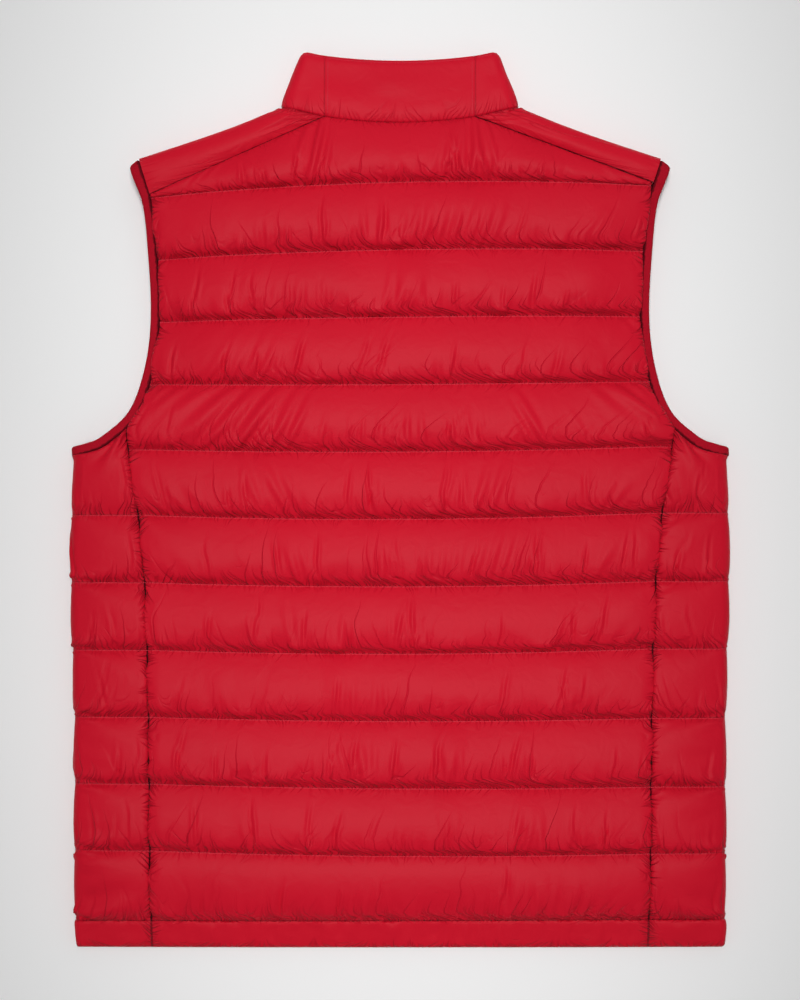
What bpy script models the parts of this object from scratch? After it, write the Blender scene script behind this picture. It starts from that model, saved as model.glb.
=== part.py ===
"""A padded vest, laid flat with its back up.

X runs across the vest, Y from the hem to the collar and Z up from the surface it lies on. The origin is
the middle of the rectangle it covers, at the level of that surface. Each sewn piece is one solid: a wall
that is thin where it is stitched and thick in the middle of each quilted channel. The back layer lies on
the front layer, and the side panels, yokes, collar and bindings turn round the folds between the two.
"""

import math
from collections import namedtuple

import bmesh
import bpy
import numpy
from mathutils import Matrix, Vector

MM = 0.001  # every length below is in millimetres

# The outline as it lies.
HEM_EDGE_Y = -376.5
COLLAR_CORNER_Y = 376.0
CHEST_HALF_WIDTH = 276.0
WAIST_HALF_WIDTH = 273.0
WAIST_Y = -200.0
CHEST_Y = -60.0

# Quilting: straight lines of stitching across the vest, numbered from the hem seam up.
HEM_SEAM_Y = -353.0
QUILT_PITCH = 56.2
TOP_LINE = 11  # the last line, under the collar
SIDE_TOP_LINE = 6  # the last line that crosses the side panels
HALF_BACK = 208.0  # half the back panel's width at the hem
QuiltLine = namedtuple("QuiltLine", "end_rise right_rise")  # ends above middle, right end above left end
QUILT_LINES = (
    QuiltLine(0.4, 1.0),
    QuiltLine(3.0, -2.5),
    QuiltLine(2.6, -2.5),
    QuiltLine(3.0, -1.0),
    QuiltLine(3.7, 1.0),
    QuiltLine(3.8, 1.0),
    QuiltLine(4.2, 2.0),
    QuiltLine(3.0, 2.5),
    QuiltLine(1.3, 2.5),
    QuiltLine(-1.6, 5.0),
    QuiltLine(-4.6, 7.6),
    QuiltLine(-7.4, 10.0),
)
CHANNEL_SHARES = (0.0, 0.2, 0.5, 0.8)  # where a channel's cross-section has its points
FRONT_SHARES = (0.0, 0.27, 0.73)
UNDERARM_CHANNEL = 7  # where the side seam ends at the armhole, which takes more points
CHANNEL_ROUNDNESS = 0.6  # below 1, a channel is fuller than a sine arch
YOKE_CORNER_ABOVE_TOP_LINE = 2.5

# Seams between the panels.
SEAM_GAP = 0.3
CURVED_SEAM_GAP = 0.8
SEAM_FLARE = 20.0  # how far the side seam swings out towards the armhole
SEAM_FLARE_LENGTH = 75.0
SEAM_TOP_Y = 60.0
SIDE_SEAM_TOP_X = 228.0
NECK_SEAM_Y = 315.4
NECK_SEAM_RISE = 5.0  # from the middle to where the collar's vertical seams meet it
COLLAR_SEAM_X = 63.0
NECK_POINT = Vector((99.0, 329.0))  # where the neck seam crosses the shoulder fold
SHOULDER_TIP = Vector((218.8, 286.2))
FRONT_NECK_Y = 282.0
FRONT_NECK_HALF_WIDTH = 99.0
FRONT_NECK_DEPTH = 47.0
FRONT_YOKE_X = 80.0  # where the front yoke seam meets the front neck seam
FRONT_EDGE_X = 10.0  # the fronts end here, beside the zip
COLLAR_TOP_HALF_WIDTH = 83.0
COLLAR_BACK_DIP = 7.5
COLLAR_FRONT_DIP = 26.5

# The binding's outer and inner edges, from the side fold up to the shoulder.
ArmholePoint = namedtuple("ArmholePoint", "outer_x outer_y inner_x inner_y")
ARMHOLE = (
    ArmholePoint(276.0, 44.0, 276.0, 35.5),
    ArmholePoint(262.0, 47.6, 259.5, 39.6),
    ArmholePoint(249.0, 53.4, 244.5, 46.4),
    ArmholePoint(226.0, 75.2, 219.8, 70.6),
    ArmholePoint(213.4, 113.0, 206.2, 110.8),
    ArmholePoint(208.7, 157.0, 201.2, 157.0),
    ArmholePoint(211.7, 213.8, 204.3, 214.4),
    ArmholePoint(216.3, 251.6, 209.0, 254.0),
    ArmholePoint(227.0, 280.0, 218.8, 286.2),
)

# Heights of the middle of each layer above the surface.
BACK_HEIGHT = 25.0
BACK_CROWN = 3.0  # how much lower the back layer is at the side folds
FRONT_HEIGHT = 7.0
LAYER_MEETING = 14.15  # where the back layer lies on the front layer
LAYER_GAP = 0.3
HEM_SEAM_DROP = 10.0
HEM_EDGE_DROP = 7.0
FRONT_HEM_SEAM_DROP = 2.5
FRONT_HEM_EDGE_DROP = 2.5
ARMHOLE_DROP = 6.0  # how far the back layer sinks at the armholes, where it is thin
ARMHOLE_DROP_REACH = 60.0
NECK_DROP = 3.0
COLLAR_DROP = 7.5
FRONT_NECK_DROP = 0.5

# Half thicknesses of the walls.
STITCHED = 1.5  # padded cloth under a line of stitching
FRONT_FULL = 10.0  # before the surface flattens it
FOLD_FULL = 4.5
YOKE_OUTER_FULL = 7.5
YOKE_INNER_FULL = 4.5
COLLAR_FULL = 3.8
BINDING_EDGE = 1.5
BINDING_MIDDLE = 2.0
HEM_FULL = 2.6
HEM_FOLD = 1.6
EDGE_REACH = 24.0  # how far from a seam a channel has swelled to its full thickness
LOW_CHANNEL = 40.0  # channels narrower than this swell less

# Zip.
TAPE_INNER_X = 3.5
TAPE_HALF = 0.5
CHAIN_HALF_WIDTH = 3.2
CHAIN_EDGE_HALF = 0.9
CHAIN_HALF = 1.2
ZIP_BOTTOM_Y = -376.0
RETAINER_TOP_Y = -364.0
RETAINER_HALF = 1.7
TAPE_TOP_Y = 347.5
SLIDER_Y = 340.0
SLIDER_SIZE = Vector((9.0, 14.0, 1.0))  # each of its two plates
SLIDER_PLATE_OFFSET = 2.0
SLIDER_POST = Vector((2.4, 4.0, 4.0))
SLIDER_POST_OFFSET = 3.0
PIVOT_DROP = 4.2  # the pull tab's pin below the chain
PIN_RADIUS = 0.6
EYE_RADIUS = 1.3
EYE_HOLE_RADIUS = 0.9
LUG_INNER_X = 2.0
LUG_OUTER_X = 3.0
TAB_NECK_HALF_WIDTH = 1.7
TAB_HALF_WIDTH = 2.6
TAB_NECK_LENGTH = 4.0
TAB_LENGTH = 24.0
TAB_THICKNESS = 1.2
ROUND_SIDES = 12

SIDES = (("left", -1), ("right", 1))
FOLD_ANGLES = (90, 45, 0, -45, -90)
PANEL_COLUMNS = (0.0, 31.0, COLLAR_SEAM_X, 115.0, 165.0, 197.0)  # at the top edge; the corner comes last
FRONT_COLUMNS = (FRONT_EDGE_X, 18.0, 45.0, FRONT_YOKE_X, 125.0, 175.0)

Station = namedtuple("Station", "place normal on_layer")  # on_layer: 1 on a layer, 0 at the fold's edge


# ---------------------------------------------------------------- shape of the vest

def smooth(share):
    share = min(1.0, max(0.0, share))
    return share * share * (3 - 2 * share)


def swell(share):
    """0 at both ends of a channel, 1 in its middle."""
    return max(0.0, math.sin(math.pi * share)) ** CHANNEL_ROUNDNESS


def edge_swell(distance):
    """0 at a seam, 1 once it is EDGE_REACH away."""
    return math.sin(math.pi / 2 * min(1.0, max(0.0, distance) / EDGE_REACH)) ** CHANNEL_ROUNDNESS


def quilt_y(line, x):
    share = max(-1.0, min(1.0, x / HALF_BACK))
    shape = QUILT_LINES[line]
    return HEM_SEAM_Y + line * QUILT_PITCH + shape.end_rise * share * share + shape.right_rise / 2 * share


def side_seam_x(y):
    return HALF_BACK + SEAM_FLARE / (1 + ((SEAM_TOP_Y - y) / SEAM_FLARE_LENGTH) ** 2)


def side_fold_x(y):
    taper = smooth((CHEST_Y - y) / (CHEST_Y - WAIST_Y))
    return CHEST_HALF_WIDTH - (CHEST_HALF_WIDTH - WAIST_HALF_WIDTH) * taper


def curve_through(points, steps=8):
    """A Catmull-Rom curve through the points, as two arrays of coordinates."""
    ends = [2 * points[0] - points[1], *points, 2 * points[-1] - points[-2]]
    found = [points[0]]
    for before, start, end, after in zip(ends, ends[1:], ends[2:], ends[3:]):
        for step in range(1, steps + 1):
            t = step / steps
            bend = (2 * before - 5 * start + 4 * end - after) * t
            bend = bend + (3 * start - before - 3 * end + after) * t * t
            found.append(start + ((end - before) + bend) * t / 2)
    return numpy.array(found).T


OUTER_X, OUTER_Y = curve_through([Vector((row.outer_x, row.outer_y)) for row in ARMHOLE])
INNER_X, INNER_Y = curve_through([Vector((row.inner_x, row.inner_y)) for row in ARMHOLE])


def armhole_inner_x(y):
    return float(numpy.interp(y, INNER_Y, INNER_X))


def armhole_y(x, xs, ys):
    """Height of an armhole edge over its lower part, where it runs out to the side fold."""
    lowest = int(numpy.argmin(xs))
    return float(numpy.interp(x, xs[lowest::-1], ys[lowest::-1]))


def panel_edge_x(y):
    """Outer edge of the back and front panels: the side seam, then the armhole."""
    if y < SEAM_TOP_Y - 2 * SEAM_FLARE_LENGTH:
        return side_seam_x(y) - SEAM_GAP
    return min(side_seam_x(y), armhole_inner_x(y)) - CURVED_SEAM_GAP


def yoke_corner(side):
    """Where the yoke seam meets the armhole."""
    y = quilt_y(TOP_LINE, side * HALF_BACK) + YOKE_CORNER_ABOVE_TOP_LINE
    return Vector((armhole_inner_x(y) - CURVED_SEAM_GAP, y))


def straight_y(x, start, end):
    return start.y + (end.y - start.y) * (x - start.x) / (end.x - start.x)


def neck_y(x):
    return NECK_SEAM_Y + NECK_SEAM_RISE * (x / COLLAR_SEAM_X) ** 2


def back_top_y(x, side):
    if abs(x) <= COLLAR_SEAM_X:
        return neck_y(x)
    return straight_y(abs(x), Vector((COLLAR_SEAM_X, neck_y(COLLAR_SEAM_X))), yoke_corner(side))


def front_neck_y(x):
    return FRONT_NECK_Y + FRONT_NECK_DEPTH * (1 - math.sqrt(1 - (x / FRONT_NECK_HALF_WIDTH) ** 2))


def front_top_y(x, side):
    if x <= FRONT_YOKE_X:
        return front_neck_y(x)
    return straight_y(x, Vector((FRONT_YOKE_X, front_neck_y(FRONT_YOKE_X))), yoke_corner(side))


def collar_top_y(x, dip):
    return COLLAR_CORNER_Y - dip * (1 - (x / COLLAR_TOP_HALF_WIDTH) ** 2)


def back_height(x, y):
    """Middle of the back layer above the surface."""
    height = BACK_HEIGHT - BACK_CROWN * (x / CHEST_HALF_WIDTH) ** 2
    height -= HEM_SEAM_DROP * smooth((HEM_SEAM_Y + QUILT_PITCH - y) / QUILT_PITCH)
    height -= HEM_EDGE_DROP * max(0.0, (HEM_SEAM_Y - y) / (HEM_SEAM_Y - HEM_EDGE_Y))
    height -= NECK_DROP * smooth((y - (NECK_SEAM_Y - QUILT_PITCH)) / QUILT_PITCH)
    beside = smooth(1 - (armhole_inner_x(y) - abs(x)) / ARMHOLE_DROP_REACH)
    beside *= smooth((y - SEAM_TOP_Y) / ARMHOLE_DROP_REACH)
    beside *= smooth((SHOULDER_TIP.y - y) / ARMHOLE_DROP_REACH)
    height -= ARMHOLE_DROP * beside
    return height - COLLAR_DROP * smooth((y - NECK_SEAM_Y - 6) / (COLLAR_CORNER_Y - NECK_SEAM_Y - 6))


def front_height(y):
    """Middle of the front layer above the surface."""
    height = FRONT_HEIGHT - FRONT_HEM_SEAM_DROP * smooth((HEM_SEAM_Y + QUILT_PITCH - y) / QUILT_PITCH)
    height -= FRONT_HEM_EDGE_DROP * max(0.0, (HEM_SEAM_Y - y) / (HEM_SEAM_Y - HEM_EDGE_Y))
    return height - FRONT_NECK_DROP * smooth((y - (NECK_SEAM_Y - QUILT_PITCH)) / QUILT_PITCH)


def blend(full, share):
    """Half thickness between stitched and full."""
    return STITCHED + max(0.0, full - STITCHED) * share


def back_halves(x, y, share):
    full = back_height(x, y) - LAYER_MEETING - LAYER_GAP / 2
    return blend(full, share), blend(full, share)


def front_halves(y, share):
    return blend(FRONT_FULL, share), blend(LAYER_MEETING - LAYER_GAP / 2 - front_height(y), share)


# ---------------------------------------------------------------- making solids

def material(name, colour, roughness, metallic=0.0):
    made = bpy.data.materials.new(name)
    made.use_nodes = True
    shader = made.node_tree.nodes["Principled BSDF"]
    shader.inputs["Base Color"].default_value = (*colour, 1.0)
    shader.inputs["Roughness"].default_value = roughness
    shader.inputs["Metallic"].default_value = metallic
    made.diffuse_color = (*colour, 1.0)
    return made


def finish(name, bm, collection, surface):
    """Turns a bmesh in millimetres into a named object in metres."""
    bmesh.ops.scale(bm, vec=(MM, MM, MM), verts=bm.verts)
    bmesh.ops.recalc_face_normals(bm, faces=bm.faces)
    mesh = bpy.data.meshes.new(name)
    bm.to_mesh(mesh)
    bm.free()
    mesh.shade_smooth()
    mesh.materials.append(surface)
    made = bpy.data.objects.new(name, mesh)
    collection.objects.link(made)
    return made


def wall(name, collection, surface, columns, rows, place):
    """A grid made two skins thick, with each corner put where place(column, row, skin) says, on the outer
    skin (1) or the inner one (-1). Nothing goes lower than the surface the vest lies on."""
    bm = bmesh.new()
    bmesh.ops.create_grid(bm, x_segments=columns, y_segments=rows, size=0.5)
    bmesh.ops.solidify(bm, geom=bm.faces[:], thickness=1.0)
    for vert in bm.verts:
        column, row = round((vert.co.x + 0.5) * columns), round((vert.co.y + 0.5) * rows)
        vert.co = place(column, row, 1 if vert.co.z > -0.5 else -1)
        vert.co.z = max(0.0, vert.co.z)
    return finish(name, bm, collection, surface)


def channel_rows(last, shares):
    """(line below, share of the channel) for each row of points, from the hem seam to the last channel's end."""
    rows = []
    for line in range(last + 1):
        wanted = CHANNEL_SHARES if line == UNDERARM_CHANNEL else shares
        rows += [(line, share) for share in wanted]
    return rows + [(last, 1.0)]


def channel_y(line, share, x, last, top):
    """Height on the vest of a row of points, and the height of its channel."""
    low = quilt_y(line, x)
    high = top if line == last else quilt_y(line + 1, x)
    return low + share * (high - low), high - low


def wrapped(back_points, edge, front_points):
    """Stations of a wall from the back layer round a fold to the front layer. edge is the outermost point
    of the wall's middle, and the fold turns in the upright plane through the last back point and edge."""
    out = (edge - back_points[-1]).normalized()
    top, bottom = back_height(edge.x, edge.y), front_height(edge.y)
    radius = (top - bottom) / 2
    centre = edge - out * radius
    up = Vector((0, 0, 1))
    stations = [Station(Vector((*point, back_height(*point))), up, 1.0) for point in back_points]
    for angle in FOLD_ANGLES:
        across, lift = math.cos(math.radians(angle)), math.sin(math.radians(angle))
        place = Vector((*(centre + out * radius * across), (top + bottom) / 2 + radius * lift))
        stations.append(Station(place, Vector((*(out * across), lift)), abs(lift)))
    return stations + [Station(Vector((*point, front_height(point.y))), -up, 1.0) for point in front_points]


def lofted(name, collection, surface, start, end, shares, halves, side):
    """A wall between two lists of stations. halves(column, share) gives its outer and inner half thickness.
    The stations are worked out for the right side, and side -1 mirrors them."""
    def place(column, row, skin):
        share = shares[row]
        middle = start[column].place.lerp(end[column].place, share)
        normal = start[column].normal.lerp(end[column].normal, share).normalized()
        outer, inner = halves(column, share)
        point = middle + normal * (outer if skin > 0 else -inner)
        return Vector((side * point.x, point.y, point.z))
    return wall(name, collection, surface, len(start) - 1, len(shares) - 1, place)


def box(bm, centre, size):
    bmesh.ops.create_cube(bm, size=1.0, matrix=Matrix.LocRotScale(centre, None, size))


def rod(bm, centre, radius, length):
    """A cylinder along X."""
    bmesh.ops.create_cone(
        bm, cap_ends=True, segments=ROUND_SIDES, radius1=radius, radius2=radius, depth=length,
        matrix=Matrix.Translation(centre) @ Matrix.Rotation(math.pi / 2, 4, "Y"),
    )


def combined(target, others, operation):
    """Joins each of the others to the target, or cuts it from the target."""
    for other in others:
        other.hide_render = True
        other.display_type = "WIRE"
        modifier = target.modifiers.new(other.name, "BOOLEAN")
        modifier.operation = operation
        modifier.solver = "EXACT"
        modifier.object = other


# ---------------------------------------------------------------- the pieces

def make_back_panel(vest, surface):
    rows = channel_rows(TOP_LINE, CHANNEL_SHARES)
    columns = [-x for x in PANEL_COLUMNS[:0:-1]] + list(PANEL_COLUMNS)
    columns = [None, *columns, None]  # the two corners

    def place(column, row, skin):
        line, share = rows[row]
        side = -1 if column < len(columns) // 2 else 1
        corner = yoke_corner(side)
        edge_y, _ = channel_y(line, share, side * HALF_BACK, TOP_LINE, corner.y)
        edge = panel_edge_x(edge_y)
        top_x = side * corner.x if columns[column] is None else columns[column]
        x = top_x / corner.x * edge
        y, height = channel_y(line, share, x, TOP_LINE, back_top_y(top_x, side))
        if line == 0 and share == 0:
            y += SEAM_GAP / 2
        share = swell(share) * edge_swell(edge - abs(x)) * smooth(height / LOW_CHANNEL)
        outer, inner = back_halves(x, y, share)
        return Vector((x, y, back_height(x, y) + (outer if skin > 0 else -inner)))

    return wall("back_panel", vest, surface, len(columns) - 1, len(rows) - 1, place)


def make_front_panel(vest, surface, name, side):
    rows = channel_rows(TOP_LINE, FRONT_SHARES)
    corner = yoke_corner(side)
    columns = [*FRONT_COLUMNS, corner.x]

    def place(column, row, skin):
        line, share = rows[row]
        edge_y, _ = channel_y(line, share, side * HALF_BACK, TOP_LINE, corner.y)
        edge = panel_edge_x(edge_y)
        top_x = columns[column]
        x = FRONT_EDGE_X + (top_x - FRONT_EDGE_X) / (corner.x - FRONT_EDGE_X) * (edge - FRONT_EDGE_X)
        y, height = channel_y(line, share, side * x, TOP_LINE, front_top_y(top_x, side))
        if line == 0 and share == 0:
            y += SEAM_GAP / 2
        share = swell(share) * edge_swell(min(edge - x, x - FRONT_EDGE_X)) * smooth(height / LOW_CHANNEL)
        outer, inner = front_halves(y, share)
        return Vector((side * x, y, front_height(y) + (-outer if skin > 0 else inner)))

    return wall(name, vest, surface, len(columns) - 1, len(rows) - 1, place)


def make_side_panel(vest, surface, name, side):
    rows = channel_rows(SIDE_TOP_LINE, CHANNEL_SHARES)
    shares_of_layer = (0.0, 0.2, 0.55)
    layer_columns = len(shares_of_layer)

    def stations(line, share):
        seam_top = armhole_y(SIDE_SEAM_TOP_X, INNER_X, INNER_Y) - CURVED_SEAM_GAP
        y, _ = channel_y(line, share, side * HALF_BACK, SIDE_TOP_LINE, seam_top)
        y += SEAM_GAP / 2 if line == 0 and share == 0 else 0.0
        seam = side_seam_x(y)
        edge = Vector((side_fold_x(y) - FOLD_FULL, y))
        points = [Vector((seam + (edge.x - seam) * part, y)) for part in shares_of_layer]
        return seam, wrapped(points, edge, points[::-1])

    found = [stations(*row) for row in rows]

    def place(column, row, skin):
        line, share = rows[row]
        seam, around = found[row]
        middle, normal, on_layer = around[column]
        swelled = swell(share)
        layer_share = swelled * edge_swell(middle.x - seam)
        if normal.z >= 0:
            outer, inner = back_halves(middle.x, middle.y, layer_share)
        else:
            outer, inner = front_halves(middle.y, layer_share)
        fold = blend(FOLD_FULL, swelled)
        if on_layer < 1:
            outer, inner = (fold + (half - fold) * on_layer for half in (outer, inner))
        point = middle + normal * (outer if skin > 0 else -inner)
        if line == SIDE_TOP_LINE:
            top = armhole_y(point.x, INNER_X, INNER_Y) - CURVED_SEAM_GAP
            point.y, _ = channel_y(line, share, side * HALF_BACK, SIDE_TOP_LINE, top)
        return Vector((side * point.x, point.y, point.z))

    return wall(name, vest, surface, 2 * layer_columns + len(FOLD_ANGLES) - 1, len(rows) - 1, place)


def neck_end(gap, seam_gaps):
    """The seam between a yoke and a collar side: points on the back, the fold's edge, points on the front.
    gap moves them off the seam, towards the collar if positive. The first point lies that many seam gaps
    off the corner that the two share with the back panel and the collar's middle."""
    corner = Vector((COLLAR_SEAM_X, neck_y(COLLAR_SEAM_X)))
    along = (NECK_POINT - corner).normalized()
    off = Vector((-along.y, along.x)) * gap
    edge = NECK_POINT - along * FOLD_FULL
    turned = edge - along * (back_height(*edge) - front_height(edge.y)) / 2
    front = Vector((FRONT_YOKE_X, front_neck_y(FRONT_YOKE_X)))
    back_points = [corner + seam_gaps * SEAM_GAP]
    back_points += [corner.lerp(edge, part) + off for part in (0.22, 0.45)]
    front_points = [turned.lerp(front, part) + Vector((-gap, 0)) for part in (0.45, 0.8, 1.0)]
    front_points[-1].y += CURVED_SEAM_GAP
    return back_points, edge + off, front_points


def make_yoke(vest, surface, name, side):
    corner = yoke_corner(side)
    corner_out = Vector((corner.x, corner.y + SEAM_GAP))
    out = (SHOULDER_TIP - corner).normalized()
    along = Vector((out.y, -out.x))
    edge = SHOULDER_TIP - along * 2 * CURVED_SEAM_GAP - out * FOLD_FULL
    tip_points = [corner_out + (edge - corner_out) * part for part in (0.0, 0.22, 0.45)]
    start = wrapped(*neck_end(-SEAM_GAP, Vector((1, 1))))
    end = wrapped(tip_points, edge, tip_points[::-1])
    shares = (0.0, 0.1, 0.3, 0.5, 0.7, 0.9, 1.0)
    length = (SHOULDER_TIP - NECK_POINT).length
    last = len(start) - 1

    def halves(column, share):
        across = (start[column].place - start[0 if column <= last // 2 else last].place).length
        swelled = edge_swell(across) * edge_swell(min(share, 1 - share) * length)
        return blend(YOKE_OUTER_FULL, swelled), blend(YOKE_INNER_FULL, swelled)

    return lofted(name, vest, surface, start, end, shares, halves, side)


def make_collar_back(vest, surface):
    columns = [-x for x in PANEL_COLUMNS[2:0:-1]] + list(PANEL_COLUMNS[:3])
    shares = (0.0, 0.15, 0.5, 0.88, 1.0)
    fullness = (0.0, 0.7, 1.0, 0.8, 0.2)

    def place(column, row, skin):
        x = columns[column]
        bottom = neck_y(x) + SEAM_GAP
        y = bottom + (collar_top_y(x, COLLAR_BACK_DIP) - bottom) * shares[row]
        side_share = edge_swell(COLLAR_SEAM_X - abs(x))
        half = blend(COLLAR_FULL, fullness[row] * (0.4 + 0.6 * side_share))
        return Vector((x, y, back_height(x, y) + half * skin))

    return wall("collar_back", vest, surface, len(columns) - 1, len(shares) - 1, place)


def make_collar_side(vest, surface, name, side):
    neck_back, neck_edge, neck_front = neck_end(SEAM_GAP / 2, Vector((1, 2)))
    for x in reversed(FRONT_COLUMNS[:3]):
        neck_front.append(Vector((x, front_neck_y(x) + CURVED_SEAM_GAP)))
    edge_x = COLLAR_TOP_HALF_WIDTH - COLLAR_FULL
    back = [COLLAR_SEAM_X + SEAM_GAP, COLLAR_SEAM_X + 4, COLLAR_SEAM_X + 8]
    front = [72.0, 66.0, 60.0, *reversed(FRONT_COLUMNS[:3])]
    start = wrapped(neck_back, neck_edge, neck_front)
    end = wrapped(
        [Vector((x, collar_top_y(x, COLLAR_BACK_DIP))) for x in back],
        Vector((edge_x, COLLAR_CORNER_Y)),
        [Vector((x, collar_top_y(x, COLLAR_FRONT_DIP))) for x in front],
    )
    shares = (0.0, 0.15, 0.5, 0.88, 1.0)
    fullness = dict(zip(shares, (0.0, 0.7, 1.0, 0.8, 0.2)))

    def halves(column, share):
        at_edge = 0.4 if column in (0, len(start) - 1) else 1.0
        half = blend(COLLAR_FULL, fullness[share] * at_edge)
        return half, half

    return lofted(name, vest, surface, start, end, shares, halves, side)


def make_binding(vest, surface, name, side):
    """A strip round the armhole: under the back layer's edge, over the shoulder fold, and back below."""
    last = len(OUTER_X) - 1
    top, bottom = back_height(CHEST_HALF_WIDTH, OUTER_Y[0]), front_height(OUTER_Y[0])
    radius = (top - bottom) / 2
    centre_x = CHEST_HALF_WIDTH - BINDING_MIDDLE - radius
    out = (SHOULDER_TIP - yoke_corner(1)).normalized()

    def arc_ends(share, front):
        index = share * last
        ends = []
        for xs, ys in ((OUTER_X, OUTER_Y), (INNER_X, INNER_Y)):
            x = float(numpy.interp(index, range(last + 1), xs))
            y = float(numpy.interp(index, range(last + 1), ys))
            ends.append(Vector((x, y, front_height(y) if front else back_height(x, y))))
        return (*ends, Vector((0, 0, -1 if front else 1)))

    def side_fold(angle):
        across, lift = math.cos(math.radians(angle)), math.sin(math.radians(angle))
        x = centre_x + radius * across
        z = (top + bottom) / 2 + radius * lift
        return Vector((x, 0, z)), Vector((x, 0, z)), Vector((across, 0, lift))

    def shoulder_fold(angle):
        across, lift = math.cos(math.radians(angle)), math.sin(math.radians(angle))
        ends = []
        for xs, ys in ((OUTER_X, OUTER_Y), (INNER_X, INNER_Y)):
            tip = Vector((float(xs[-1]), float(ys[-1])))
            high, low = back_height(*tip), front_height(tip.y)
            turn = (high - low) / 2
            plan = tip - out * (BINDING_MIDDLE + turn * (1 - across))
            ends.append(Vector((*plan, (high + low) / 2 + turn * lift)))
        return (*ends, Vector((*(out * across), lift)))

    arc = numpy.linspace(0.1, 0.88, 11)
    ring = [side_fold(angle) for angle in reversed(FOLD_ANGLES)]
    ring += [arc_ends(share, False) for share in arc]
    ring += [shoulder_fold(angle) for angle in FOLD_ANGLES]
    ring += [arc_ends(share, True) for share in reversed(arc)]

    def place(column, row, skin):
        outer, inner, normal = ring[row]
        half = BINDING_MIDDLE if column == 1 else BINDING_EDGE
        point = inner.lerp(outer, column / 2) + normal * half * skin
        if row < len(FOLD_ANGLES):
            low, high = armhole_y(point.x, INNER_X, INNER_Y), armhole_y(point.x, OUTER_X, OUTER_Y)
            point.y = low + (high - low) * column / 2
        return Vector((side * point.x, point.y, point.z))

    return wall(name, vest, surface, 2, len(ring) - 1, place)


HEM_SHARES = (0.0, 0.5, 1.0)
HEM_HALVES = (STITCHED, HEM_FULL, HEM_FOLD)


def hem_y(x, share):
    top = quilt_y(0, x) - SEAM_GAP / 2
    return top + (HEM_EDGE_Y - top) * share


def make_hem_back(vest, surface):
    edge = panel_edge_x(HEM_SEAM_Y)
    columns = [-x for x in PANEL_COLUMNS[:0:-1]] + list(PANEL_COLUMNS)
    columns = [-edge, *(x / yoke_corner(1).x * edge for x in columns), edge]

    def place(column, row, skin):
        x = columns[column]
        y = hem_y(x, HEM_SHARES[row])
        return Vector((x, y, back_height(x, y) + HEM_HALVES[row] * skin))

    return wall("hem_band_back", vest, surface, len(columns) - 1, len(HEM_SHARES) - 1, place)


def make_hem_front(vest, surface, name, side):
    edge = panel_edge_x(HEM_SEAM_Y)
    columns = numpy.linspace(FRONT_EDGE_X, edge, 7)

    def place(column, row, skin):
        x = float(columns[column])
        y = hem_y(side * x, HEM_SHARES[row])
        return Vector((side * x, y, front_height(y) - HEM_HALVES[row] * skin))

    return wall(name, vest, surface, len(columns) - 1, len(HEM_SHARES) - 1, place)


def make_hem_side(vest, surface, name, side):
    def around(share):
        y = hem_y(side * HALF_BACK, share)
        seam = side_seam_x(HEM_SEAM_Y)
        edge = Vector((WAIST_HALF_WIDTH - FOLD_FULL + share * (FOLD_FULL - HEM_FOLD), y))
        points = [Vector((seam + (edge.x - seam) * part, y)) for part in (0.0, 0.2, 0.55)]
        return wrapped(points, edge, points[::-1])

    def halves(column, share):
        half = HEM_HALVES[HEM_SHARES.index(share)]
        return half, half

    return lofted(name, vest, surface, around(0.0), around(1.0), HEM_SHARES, halves, side)


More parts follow.
